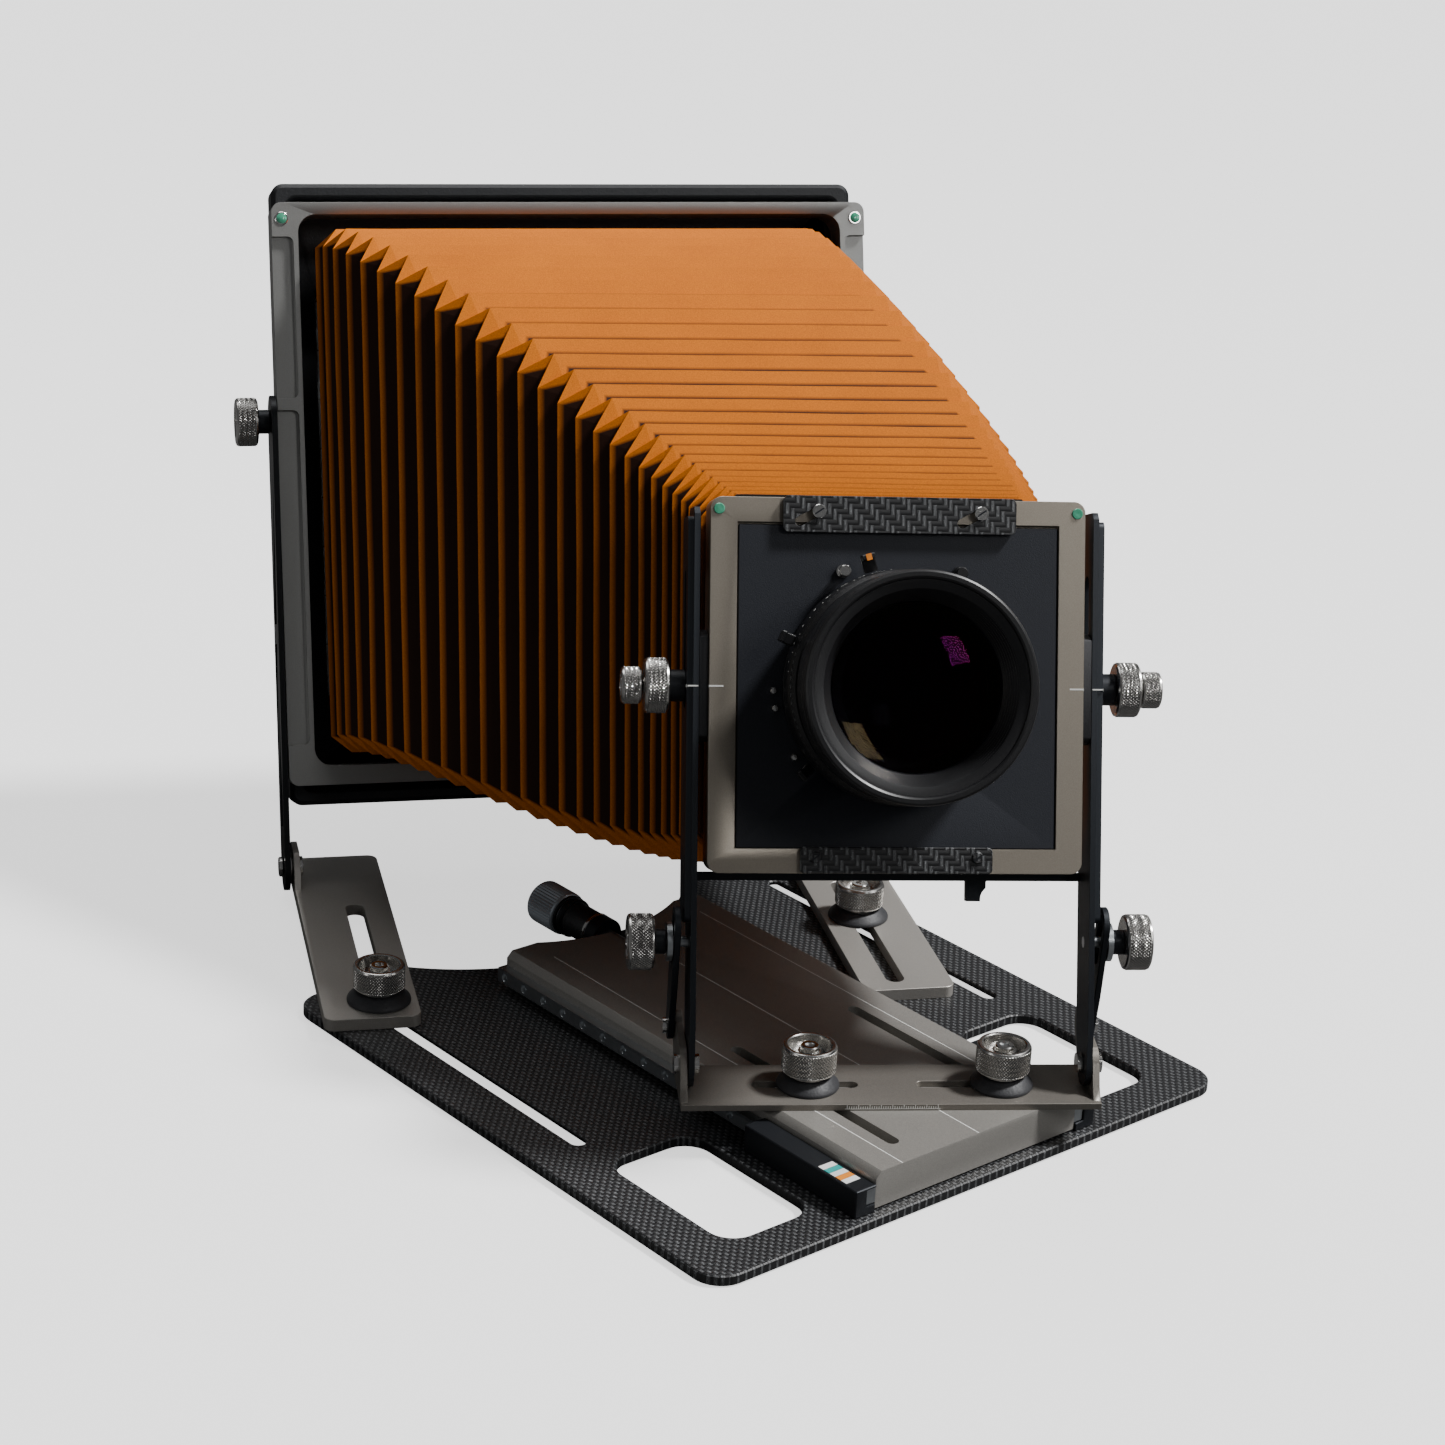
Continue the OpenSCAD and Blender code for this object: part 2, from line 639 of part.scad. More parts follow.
// ---- bellows ---------------------------------------------------------------------
module bellows_body(front_w, rear_wh) {
    hull() {
        on_posts() translate([0, frame_back + 0.5, axis_z]) cube([front_w, 0.4, front_w],
            center = true);
        on_rear() translate([0, 6, 205.8]) cube([rear_wh.x, 0.4, rear_wh.y], center = true);
    }
}
module bellows() {
    color([0.85, 0.45, 0.08]) difference() {
        bellows_body(152, [272, 268]);
        bellows_body(134, [256, 252]);
        on_posts() translate([0, frame_back + 1, axis_z]) cube([132, 8, 132], center = true);
        on_rear() translate([0, 6, 205.8]) cube([254, 8, 250], center = true);
    }
}

base_plate();
tripod_bush();
guide_blocks();
screw_bracket();
sliding_bed();
bed_rails();
lead_nut();
focus_knob();
lead_screw();
front_slide_bolt();
front_knob(front_stud_x[0]);  // front_knob_left
front_knob(front_stud_x[1]);  // front_knob_right
front_base_plate();
front_washers();
front_stud_right();
ear_screws();
tilt_struts();
front_posts();
post_crossbar();
strut_studs();
strut_knob(-1);  // strut_knob_left
strut_knob(1);  // strut_knob_right
axis_shafts();
friction_discs();
axis_knob(-1);  // axis_knob_left
axis_knob(1);  // axis_knob_right
rise_knob(-1);  // rise_knob_left
rise_knob(1);  // rise_knob_right
lens_frame();
latch_screws();
bottom_clip();
level_vials();
lens_board();
shutter_body();
lens_barrel();
rear_cell();
front_glass();
rear_glass();
iris_blades();
board_latch();
speed_ring();
aperture_lever();
cocking_lever();
release_lever();
rear_slide_bolt();
foot_knob(-1);  // foot_knob_left
foot_knob(1);  // foot_knob_right
rear_feet();
foot_washers();
foot_stud_right();
foot_bolts();
rear_arms();
rear_axis_knob(-1);  // rear_axis_knob_left
rear_axis_knob(1);  // rear_axis_knob_right
rear_frame();
back_frame();
glass_frame();
ground_glass();
back_springs();
bellows();
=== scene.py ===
import json
import math

import bmesh
import bpy
from mathutils import Matrix, Vector
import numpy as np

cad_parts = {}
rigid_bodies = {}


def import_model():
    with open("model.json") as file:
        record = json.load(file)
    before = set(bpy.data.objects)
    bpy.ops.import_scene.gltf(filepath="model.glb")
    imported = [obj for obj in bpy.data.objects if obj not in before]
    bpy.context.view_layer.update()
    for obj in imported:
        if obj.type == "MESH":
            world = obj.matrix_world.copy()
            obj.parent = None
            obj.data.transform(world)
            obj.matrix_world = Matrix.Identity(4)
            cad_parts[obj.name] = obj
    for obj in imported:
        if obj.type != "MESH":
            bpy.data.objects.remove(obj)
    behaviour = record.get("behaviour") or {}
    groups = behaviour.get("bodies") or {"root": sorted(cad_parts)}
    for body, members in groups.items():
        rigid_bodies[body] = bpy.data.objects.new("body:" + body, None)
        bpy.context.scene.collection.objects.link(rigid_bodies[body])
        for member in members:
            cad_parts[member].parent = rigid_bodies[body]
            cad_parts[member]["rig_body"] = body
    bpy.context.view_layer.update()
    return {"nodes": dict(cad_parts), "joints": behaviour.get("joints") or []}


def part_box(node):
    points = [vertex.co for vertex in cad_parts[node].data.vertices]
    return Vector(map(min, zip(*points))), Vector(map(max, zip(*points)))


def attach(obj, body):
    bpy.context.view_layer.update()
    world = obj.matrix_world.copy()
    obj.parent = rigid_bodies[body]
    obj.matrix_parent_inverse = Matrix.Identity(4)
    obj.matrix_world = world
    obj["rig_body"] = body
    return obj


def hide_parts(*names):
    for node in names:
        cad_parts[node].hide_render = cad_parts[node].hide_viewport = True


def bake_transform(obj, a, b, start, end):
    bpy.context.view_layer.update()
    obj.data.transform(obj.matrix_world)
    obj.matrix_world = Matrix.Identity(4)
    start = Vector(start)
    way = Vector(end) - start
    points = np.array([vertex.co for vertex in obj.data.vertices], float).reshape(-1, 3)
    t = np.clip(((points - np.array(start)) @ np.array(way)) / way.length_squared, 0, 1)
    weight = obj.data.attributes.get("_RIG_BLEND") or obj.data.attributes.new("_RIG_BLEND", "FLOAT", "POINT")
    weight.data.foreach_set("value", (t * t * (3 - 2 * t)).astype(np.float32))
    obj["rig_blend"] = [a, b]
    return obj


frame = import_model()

# ---- Viewpoint ---------------------------------------------------------------------
# A long lens a metre and a half away, to the left and above, turned a little about
# its own axis. It comes first, so that everything after it is made to be seen.
eye = Vector((-0.90499, -0.99953, 0.69229))
yaw, pitch, roll = (math.radians(angle) for angle in (41.26, -21.46, 2.95))
ahead = Vector((math.sin(yaw) * math.cos(pitch), math.cos(yaw) * math.cos(pitch), math.sin(pitch)))
level = Vector((math.cos(yaw), -math.sin(yaw), 0))
above = level.cross(ahead)
sight_right = math.cos(roll) * level + math.sin(roll) * above
sight_up = math.cos(roll) * above - math.sin(roll) * level
viewer = bpy.data.objects.new("viewer", bpy.data.cameras.new("viewer"))
viewer.data.sensor_width = 36
viewer.data.lens = 80.816
viewer.matrix_world = (Matrix.Translation(eye)
                       @ Matrix((sight_right, sight_up, -ahead)).transposed().to_4x4())
bpy.context.collection.objects.link(viewer)
bpy.context.scene.camera = viewer

# ---- Studio ------------------------------------------------------------------------
# A plain pale sweep, a high key from the right, soft boxes at the right, above and
# before the lens, a slim strip for the left edges, and a dim room. The viewer sees the
# sweep pale, while little of its light reaches the camera, so dark parts stay dark.
sweep_half = 60
sweep_z = -0.0004
sweep_corners = [(-sweep_half, -sweep_half), (sweep_half, -sweep_half), (sweep_half, sweep_half),
                 (-sweep_half, sweep_half)]
sweep_mesh = bpy.data.meshes.new("sweep")
sweep_mesh.from_pydata([(x, y, sweep_z) for x, y in sweep_corners], [], [(0, 1, 2, 3)])
sweep = bpy.data.objects.new("sweep", sweep_mesh)
bpy.context.collection.objects.link(sweep)
pale = bpy.data.materials.new("pale_sweep")
pale.use_nodes = True
pale_shader = pale.node_tree.nodes["Principled BSDF"]
pale_shader.inputs["Roughness"].default_value = 0.9
pale_shader.inputs["Specular IOR Level"].default_value = 0.1
seen = pale.node_tree.nodes.new("ShaderNodeLightPath")
tone = pale.node_tree.nodes.new("ShaderNodeMix")
tone.data_type = "RGBA"
tone.inputs[6].default_value = (0.07, 0.07, 0.07, 1)
tone.inputs[7].default_value = (0.5, 0.5, 0.5, 1)
pale.node_tree.links.new(seen.outputs["Is Camera Ray"], tone.inputs[0])
pale.node_tree.links.new(tone.outputs[2], pale_shader.inputs["Base Color"])
pale_shader.inputs["Emission Color"].default_value = (1.25, 1.25, 1.25, 1)
pale.node_tree.links.new(seen.outputs["Is Camera Ray"], pale_shader.inputs["Emission Strength"])
sweep_mesh.materials.append(pale)

room = bpy.data.worlds.new("room")
bpy.context.scene.world = room
room.use_nodes = True
room.node_tree.nodes["Background"].inputs["Color"].default_value = (0.97, 0.98, 1.0, 1)
room.node_tree.nodes["Background"].inputs["Strength"].default_value = 0.09


def lamp(name, kind, power, place, target, **settings):
    """a lamp at a place that looks at a target"""
    data = bpy.data.lights.new(name, kind)
    data.energy = power
    for setting, value in settings.items():
        setattr(data, setting, value)
    made = bpy.data.objects.new(name, data)
    made.location = place
    made.rotation_euler = (Vector(target) - Vector(place)).to_track_quat("-Z", "Y").to_euler()
    bpy.context.collection.objects.link(made)


lamp("key_sun", "SUN", 5.6, (1.1, -0.75, 2.0), (0, 0, 0.1), angle=math.radians(9))
lamp("left_strip", "AREA", 2, (-1.7, 0.25, 0.55), (0, 0.1, 0.15), shape="RECTANGLE", size=0.25, size_y=1.3)
lamp("right_box", "AREA", 6, (1.0, -1.7, 1.1), (0, -0.1, 0.2), shape="RECTANGLE", size=0.8, size_y=0.9)
lamp("glass_box", "AREA", 3, (-0.07, -1.43, 1.12), (0, -0.1, 0.23), shape="RECTANGLE", size=0.3, size_y=0.36)
lamp("top_box", "AREA", 8, (0.2, 0.7, 1.5), (0, 0, 0.1), shape="RECTANGLE", size=0.9, size_y=0.9)


class Reading:
    """a value that varies over a surface, worked out by Math nodes"""

    def __init__(self, tree, socket):
        self.tree, self.socket = tree, socket

    def by(self, operation, *others):
        node = self.tree.nodes.new("ShaderNodeMath")
        node.operation = operation
        for place, value in enumerate((self, *others)):
            if isinstance(value, Reading):
                self.tree.links.new(value.socket, node.inputs[place])
            else:
                node.inputs[place].default_value = value
        return Reading(self.tree, node.outputs[0])

    def __add__(self, other):
        return self.by("ADD", other)

    def __sub__(self, other):
        return self.by("SUBTRACT", other)

    def __mul__(self, other):
        return self.by("MULTIPLY", other)

    def __truediv__(self, other):
        return self.by("DIVIDE", other)

    def __mod__(self, other):
        return self.by("FLOORED_MODULO", other)

    def floor(self):
        return self.by("FLOOR")

    def tooth(self):
        return self.by("PINGPONG", 0.5) * 2


def start_finish(name, colour, rough, metal=0.0, place=None, **sockets):
    """a material whose patterns run in millimetres along a part's own directions"""
    material = bpy.data.materials.new(name)
    material.use_nodes = True
    tree = material.node_tree
    shader = tree.nodes["Principled BSDF"]
    shader.inputs["Base Color"].default_value = (*colour, 1)
    shader.inputs["Roughness"].default_value = rough
    shader.inputs["Metallic"].default_value = metal
    for socket, value in sockets.items():
        shader.inputs[socket.replace("_", " ")].default_value = value
    where = tree.nodes.new("ShaderNodeTexCoord")
    turn = tree.nodes.new("ShaderNodeMapping")
    back = (place or Matrix.Identity(4)).inverted()
    turn.inputs["Rotation"].default_value = back.to_euler()
    turn.inputs["Location"].default_value = back.to_translation() * 1000
    turn.inputs["Scale"].default_value = (1000, 1000, 1000)
    tree.links.new(where.outputs["Object"], turn.inputs["Vector"])
    return material, tree, shader, turn.outputs["Vector"]


def along(tree, at):
    """the three distances along a part, in millimetres"""
    split = tree.nodes.new("ShaderNodeSeparateXYZ")
    tree.links.new(at, split.inputs[0])
    return [Reading(tree, socket) for socket in split.outputs]


def grain(tree, at, size, stretch=(1, 1, 1), detail=2.0):
    """soft random grain whose marks are about that many millimetres"""
    scaled = tree.nodes.new("ShaderNodeVectorMath")
    scaled.operation = "MULTIPLY"
    tree.links.new(at, scaled.inputs[0])
    scaled.inputs[1].default_value = [1 / (size * s) for s in stretch]
    noise = tree.nodes.new("ShaderNodeTexNoise")
    noise.inputs["Scale"].default_value = 1.0
    noise.inputs["Detail"].default_value = detail
    tree.links.new(scaled.outputs[0], noise.inputs["Vector"])
    return Reading(tree, noise.outputs["Fac"])


def ranged(reading, low, high, new_low, new_high):
    """a reading squeezed from one range into another"""
    node = reading.tree.nodes.new("ShaderNodeMapRange")
    reading.tree.links.new(reading.socket, node.inputs[0])
    for place, value in enumerate((low, high, new_low, new_high), 1):
        node.inputs[place].default_value = value
    return Reading(reading.tree, node.outputs[0])


def colour_by(tree, shader, reading, first, second):
    """the colour goes from the first to the second as the reading goes from 0 to 1"""
    mix = tree.nodes.new("ShaderNodeMix")
    mix.data_type = "RGBA"
    tree.links.new(reading.socket, mix.inputs[0])
    for place, colour in ((6, first), (7, second)):
        if hasattr(colour, "links"):
            tree.links.new(colour, mix.inputs[place])
        else:
            mix.inputs[place].default_value = (*colour, 1)
    tree.links.new(mix.outputs[2], shader.inputs["Base Color"])
    return mix.outputs[2]


def rough_by(tree, shader, reading, smooth, dull):
    """the roughness goes from smooth to dull as the reading goes from 0 to 1"""
    tree.links.new(ranged(reading, 0, 1, smooth, dull).socket, shader.inputs["Roughness"])


def relief(tree, shader, reading, depth):
    """the surface rises by depth millimetres as the reading goes from 0 to 1"""
    bump = tree.nodes.new("ShaderNodeBump")
    bump.inputs["Strength"].default_value = 1.0
    bump.inputs["Distance"].default_value = depth / 1000
    tree.links.new(reading.socket, bump.inputs["Height"])
    tree.links.new(bump.outputs[0], shader.inputs["Normal"])


def carbon(name, tow, twill, place=None, upright=False):
    """woven carbon cloth under satin lacquer, with tows of that width, its colour carrying painted sheen and
    glints
    """
    material, tree, shader, at = start_finish(name, (0.02, 0.02, 0.022), 0.34, 0.0, place, Coat_Weight=0.35,
                                              Coat_Roughness=0.22)
    x, y, z = along(tree, at)
    across, up = x / tow, (z if upright else y) / tow
    step = across.floor() + up.floor()
    over = ((step % 4) / 2).floor() if twill else step % 2
    warp_hump = (across % 1).by("MULTIPLY", math.pi).by("SINE")
    weft_hump = (up % 1).by("MULTIPLY", math.pi).by("SINE")
    under = over * -1 + 1
    hump = warp_hump * over + weft_hump * under
    stretch_up = (1, 9, 9) if not upright else (1, 9, 14)
    fibres = grain(tree, at, 0.14, stretch_up, 1.0) * over + grain(tree, at, 0.14, (12, 1, 1), 1.0) * under
    # painted sheen: the tows are coloured lighter on their crowns and where they lie over, with small painted
    # glints
    painted_sheen = ranged(hump, 0.2, 1.0, 0.0, 1.0) * (over * 0.75 + 0.25) * ranged(fibres, 0.35, 0.7, 0.35, 1.0)
    painted_glints = ranged(grain(tree, at, 0.9), 0.63, 0.72, 0.0, 1.0) * hump * over
    colour_by(tree, shader, (painted_sheen * painted_sheen * 0.7 + painted_glints * 0.5).by("MINIMUM", 1.0), (0.003, 0.003, 0.004),
              (0.3, 0.31, 0.32))
    rough_by(tree, shader, painted_sheen, 0.5, 0.28)
    relief(tree, shader, hump + fibres * 0.12, 0.16)
    return material


def blasted(name, colour, rough, metal=0.85, sand=0.3, marks=0.12, place=None):
    """bead-blasted and anodised metal, with a fine sandy sparkle"""
    material, tree, shader, at = start_finish(name, colour, rough, metal, place)
    fine, broad = grain(tree, at, sand, detail=3.0), grain(tree, at, 38)
    tone = (ranged(fine, 0.3, 0.7, 0.0, 1.0) * 0.8 + broad * 0.2).by("MINIMUM", 1.0)
    colour_by(tree, shader, tone, [c * (1 - marks) for c in colour],
              [min(1, c * (1 + marks)) for c in colour])
    rough_by(tree, shader, fine, rough - 0.06, rough + 0.08)
    relief(tree, shader, fine, 0.02)
    return material


def steel(name, colour=(0.74, 0.73, 0.71), rough=0.2, drawn=(1, 1, 24), place=None):
    """turned or ground steel, with fine drawn lines"""
    material, tree, shader, at = start_finish(name, colour, rough, 1.0, place)
    lines, stains = grain(tree, at, 0.12, drawn, 2.0), grain(tree, at, 6)
    colour_by(tree, shader, lines * 0.6 + stains * 0.4, [c * 0.82 for c in colour],
              [min(1, c * 1.1) for c in colour])
    rough_by(tree, shader, lines, rough - 0.05, rough + 0.1)
    relief(tree, shader, lines, 0.006)
    return material


def join_in(name, mesh, material, body, replaced=()):
    """the finished mesh as a piece that rides on a body and takes its finish from a slot"""
    piece = bpy.data.objects.new(name, mesh)
    bpy.context.collection.objects.link(piece)
    if material is not None:
        mesh.materials.clear()
        mesh.materials.append(material)
    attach(piece, body)
    if replaced:
        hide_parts(*replaced)
    return piece


def machined(node, material, edge=0.35):
    """a CAD part with its sharp edges broken, as a finished piece in its place"""
    source = frame["nodes"][node]
    mesh = source.data.copy()
    work = bmesh.new()
    work.from_mesh(mesh)
    bmesh.ops.remove_doubles(work, verts=work.verts, dist=2e-6)
    bmesh.ops.dissolve_limit(work, angle_limit=math.radians(0.6), verts=work.verts, edges=work.edges)
    work.to_mesh(mesh)
    work.free()
    shape = bpy.data.objects.new(node + "_blank", mesh)
    bpy.context.collection.objects.link(shape)
    chamfer = shape.modifiers.new("broken_edge", "BEVEL")
    chamfer.width = edge / 1000
    chamfer.segments = 1
    chamfer.limit_method = "ANGLE"
    chamfer.angle_limit = math.radians(34)
    chamfer.use_clamp_overlap = True
    made = bpy.data.meshes.new_from_object(shape.evaluated_get(bpy.context.evaluated_depsgraph_get()))
    bpy.data.objects.remove(shape)
    made.name = node + "_finished"
    made.shade_smooth()
    made.set_sharp_from_angle(angle=math.radians(32))
    return join_in(node + "_finished", made, material, source["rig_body"], [node])


def plain(node, material):
    """the CAD part as it is, with its finish"""
    mesh = frame["nodes"][node].data
    mesh.materials.clear()
    mesh.materials.append(material)


plate_weave = carbon("plain_weave_carbon", 2.1, False)
machined("base_plate", plate_weave, 0.7)
rail_steel = steel("ground_rail_steel", (0.5, 0.53, 0.55), 0.3, (1, 30, 1))
machined("tripod_bush", rail_steel, 0.2)

# ---- Bed ---------------------------------------------------------------------------
# A milled bar of bronze-grey anodised aluminium that slides fore and aft on two steel
# rails screwed along its flanks. White lines are cut in its top, and two slots take the
# front standard's clamp bolts. A brass nut in its tail meets the lead screw.
bed_low, bed_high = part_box("sliding_bed")
bronze = blasted("bronze_anodised", (0.36, 0.345, 0.32), 0.40, 0.6, 0.34, 0.22)
machined("sliding_bed", bronze, 0.25)
machined("bed_rails", rail_steel, 0.2)
brass = steel("machined_brass", (0.7, 0.52, 0.24), 0.26)
machined("lead_nut", brass, 0.2)
machined("front_slide_bolt", steel("bolt_steel", (0.46, 0.47, 0.48), 0.3), 0.2)


def slabs(name, boxes, place, material, body, soft=0.0):
    """small flat blocks, each from its lowest to its highest corner, in millimetres"""
    work = bmesh.new()
    for low, high in boxes:
        made = bmesh.ops.create_cube(work, size=1.0)["verts"]
        for vert in made:
            vert.co = [(low[i] + high[i]) / 2 + vert.co[i] * (high[i] - low[i]) for i in range(3)]
    if soft:
        bmesh.ops.bevel(work, geom=work.edges[:], offset=soft, segments=2, affect="EDGES")
    mesh = bpy.data.meshes.new(name)
    work.to_mesh(mesh)
    work.free()
    mesh.transform(place @ Matrix.Scale(0.001, 4))
    return join_in(name, mesh, material, body)


def paint(name, colour, rough=0.45):
    """a filled, slightly uneven paint mark"""
    material, tree, shader, at = start_finish(name, colour, rough)
    patchy = grain(tree, at, 0.5, detail=3.0)
    colour_by(tree, shader, ranged(patchy, 0.3, 0.7, 0, 1), [c * 0.88 for c in colour], colour)
    relief(tree, shader, patchy, 0.01)
    return material


white_fill = paint("white_line_fill", (0.85, 0.85, 0.82))
bed_place = Matrix.Translation((0, 0, bed_high.z))
line_start = bed_low.y * 1000 + 0.3
half_line = 0.2
lines = [((x - half_line, line_start, -0.3), (x + half_line, line_end, 0.04))
         for x, line_end in ((-45, 93), (0, 83), (45, 93))]
slabs("bed_lines", lines, bed_place, white_fill, "bed")

# ---- Guide blocks and screw bracket ------------------------------------------------
# Black anodised blocks screwed to the base plate that hold the rails from outside,
# and the bracket that carries the lead screw. A small strip of plain colour bars is
# stuck on the left block's top.
black = blasted("black_anodised", (0.018, 0.02, 0.024), 0.42, 0.55, 0.3, 0.3)
machined("guide_blocks", black, 0.4)
machined("screw_bracket", black, 0.5)
block_low, block_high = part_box("guide_blocks")
strip_y = block_low.y * 1000 + 8
bar_step, bar_wide = 3.6, 3.4
bar_colours = (("white", (0.8, 0.8, 0.78)), ("orange", (0.75, 0.25, 0.03)), ("white2", (0.7, 0.72, 0.7)),
               ("teal", (0.02, 0.33, 0.31)), ("white3", (0.8, 0.8, 0.78)))
block_place = Matrix.Translation((0, 0, block_high.z))
for index, (label, colour) in enumerate(bar_colours):
    bar_y = strip_y + bar_step * index
    bar = ((-70.5, bar_y, 0), (-62.5, bar_y + bar_wide, 0.12))
    slabs("strip_" + label, [bar], block_place, paint("strip_" + label, colour, 0.3), "base")

# ---- Focus drive -------------------------------------------------------------------
# A lead screw in a textured black sleeve, with a bright stop ring and a straight-ribbed
# alloy knob behind the bed. Each is turned on a lathe, so one tree turns them all: it
# bends a grid round the axis and cuts ribs or a diamond knurl where the outline says.
turning = bpy.data.node_groups.new("turned_part", "GeometryNodeTree")
turning.interface.new_socket("Outline", in_out="INPUT", socket_type="NodeSocketGeometry")
turning_inputs = {}
for label, kind in (("Steps Round", "NodeSocketInt"), ("Ribs Round", "NodeSocketFloat"),
                    ("Ribs Per Turn Of Lean", "NodeSocketFloat"),
                    ("Finish", "NodeSocketMaterial")):
    turning_inputs[label] = turning.interface.new_socket(label, in_out="INPUT", socket_type=kind).identifier
turning.interface.new_socket("Part", in_out="OUTPUT", socket_type="NodeSocketGeometry")


class Tree:
    """short ways to add and join nodes in a shape's tree"""

    def __init__(self, tree):
        self.tree = tree
        self.given = tree.nodes.new("NodeGroupInput")
        self.result = tree.nodes.new("NodeGroupOutput")

    def add(self, kind, links=(), **settings):
        node = self.tree.nodes.new(kind)
        for setting, value in settings.items():
            setattr(node, setting, value)
        for socket, source in dict(links).items():
            self.feed(node, socket, source)
        return node

    def feed(self, node, socket, source):
        if isinstance(source, Reading):
            source = source.socket
        if hasattr(source, "is_output"):
            self.tree.links.new(source, node.inputs[socket])
        else:
            node.inputs[socket].default_value = source

    def read(self, socket):
        return Reading(self.tree, socket)

    def sample(self, outline, kind, value, index):
        node = self.add("GeometryNodeSampleIndex", data_type=kind, domain="POINT")
        self.feed(node, "Geometry", outline)
        self.feed(node, "Value", value)
        self.feed(node, "Index", index)
        return node.outputs["Value"]

    def named(self, name, kind):
        node = self.add("GeometryNodeInputNamedAttribute", data_type=kind)
        node.inputs["Name"].default_value = name
        return node.outputs["Attribute"]

    def rolled_grid(self, outline, round_count):
        """a grid with a row on each outline point; gives it, and each point's share of the turn and row"""
        size = self.add("GeometryNodeAttributeDomainSize", component="MESH")
        self.feed(size, "Geometry", outline)
        rows = self.read(size.outputs["Point Count"])
        grid = self.add("GeometryNodeMeshGrid", {"Size X": 1.0, "Size Y": 1.0})
        self.feed(grid, "Vertices X", round_count)
        self.feed(grid, "Vertices Y", rows)
        spot = self.add("ShaderNodeSeparateXYZ")
        self.tree.links.new(self.add("GeometryNodeInputPosition").outputs[0], spot.inputs[0])
        turn = self.read(spot.outputs["X"]) + 0.5
        row = ((self.read(spot.outputs["Y"]) + 0.5) * (rows - 1)).by("ROUND")
        return grid.outputs["Mesh"], turn, row

    def close(self, mesh, finish_socket):
        whole = self.add("GeometryNodeRealizeInstances", {0: mesh})
        painted = self.add("GeometryNodeSetMaterial", {0: whole.outputs[0]})
        self.tree.links.new(finish_socket, painted.inputs["Material"])
        self.tree.links.new(painted.outputs[0], self.result.inputs[0])


lathe = Tree(turning)
outline = lathe.given.outputs["Outline"]
mesh, turn, row = lathe.rolled_grid(outline, lathe.read(lathe.given.outputs["Steps Round"]) + 1)
point = lathe.add("ShaderNodeSeparateXYZ")
turning.links.new(lathe.sample(outline, "FLOAT_VECTOR", lathe.add("GeometryNodeInputPosition").outputs[0],
                               row), point.inputs[0])
depth = lathe.read(lathe.sample(outline, "FLOAT", lathe.named("cut", "FLOAT"), row))
height = lathe.read(point.outputs["Z"])
ribs = turn * lathe.read(lathe.given.outputs["Ribs Round"])
lean = height * lathe.read(lathe.given.outputs["Ribs Per Turn Of Lean"])
left_cut, right_cut = (ribs + lean).tooth(), (ribs - lean).tooth()
cut_in = left_cut.by("MINIMUM", right_cut) * -1 + 1
radius = lathe.read(point.outputs["X"]) - depth * cut_in
angle = turn * (2 * math.pi)
spot = lathe.add("ShaderNodeCombineXYZ", {"X": radius * angle.by("COSINE"), "Y": radius * angle.by("SINE"),
                                          "Z": height})
# the cut grooves are marked, and the knurled knobs' finish colours them with painted shade
marked = lathe.add("GeometryNodeStoreNamedAttribute",
                   {"Geometry": mesh, "Value": cut_in * depth.by("GREATER_THAN", 0.01)}, data_type="FLOAT",
                   domain="POINT")
marked.inputs["Name"].default_value = "groove"
bent = lathe.add("GeometryNodeSetPosition", {"Geometry": marked.outputs[0], "Position": spot.outputs[0]})
merged = lathe.add("GeometryNodeMergeByDistance", {"Geometry": bent.outputs[0], "Distance": 0.0004})
lathe.close(merged.outputs[0], lathe.given.outputs["Finish"])


def shaped(name, points, cuts, tree, settings, edges=None):
    """runs a shape tree on an outline of points and gives its plain mesh"""
    mesh = bpy.data.meshes.new(name)
    mesh.from_pydata(points, edges or [(i, i + 1) for i in range(len(points) - 1)], [])
    for label, (kind, values) in cuts.items():
        attribute = mesh.attributes.new(label, kind, "POINT")
        if kind == "FLOAT_VECTOR":
            attribute.data.foreach_set("vector", [c for v in values for c in v])
        else:
            attribute.data.foreach_set("value", values)
    shape = bpy.data.objects.new(name + "_outline", mesh)
    modifier = shape.modifiers.new("shape", "NODES")
    modifier.node_group = tree
    for identifier, value in settings.items():
        modifier[identifier] = value
    bpy.context.collection.objects.link(shape)
    bpy.context.view_layer.update()
    made = bpy.data.meshes.new_from_object(shape.evaluated_get(bpy.context.evaluated_depsgraph_get()))
    bpy.data.objects.remove(shape)
    finish = made.materials[-1]
    made.materials.clear()
    made.materials.append(finish)
    made.polygons.foreach_set("material_index", [0] * len(made.polygons))
    made.name = name
    return made


def outward(mesh, smooth_angle=32):
    """the mesh with its faces pointing outwards and its corners kept crisp"""
    work = bmesh.new()
    work.from_mesh(mesh)
    bmesh.ops.remove_doubles(work, verts=work.verts, dist=1e-4)
    bmesh.ops.recalc_face_normals(work, faces=work.faces)
    work.to_mesh(mesh)
    work.free()
    mesh.shade_smooth()
    mesh.set_sharp_from_angle(angle=math.radians(smooth_angle))
    return mesh


def turned(name, outline, place, material, body, replaced=(), ribs=0, lean=0.0, steps=72, crisp=32):
    """a lathe-turned piece; a point is (radius, height) or (radius, height, knurl depth), in millimetres"""
    steps = 4 * ribs if ribs else steps
    points = [(p[0], 0, p[1]) for p in outline]
    cuts = [p[2] if len(p) > 2 else 0.0 for p in outline]
    values = {"Steps Round": steps, "Ribs Round": float(ribs), "Ribs Per Turn Of Lean": float(lean),
              "Finish": material}
    mesh = shaped(name, points, {"cut": ("FLOAT", cuts)}, turning,
                  {turning_inputs[k]: v for k, v in values.items()})
    outward(mesh, crisp)
    mesh.transform(place @ Matrix.Scale(0.001, 4))
    return join_in(name, mesh, material, body, replaced)


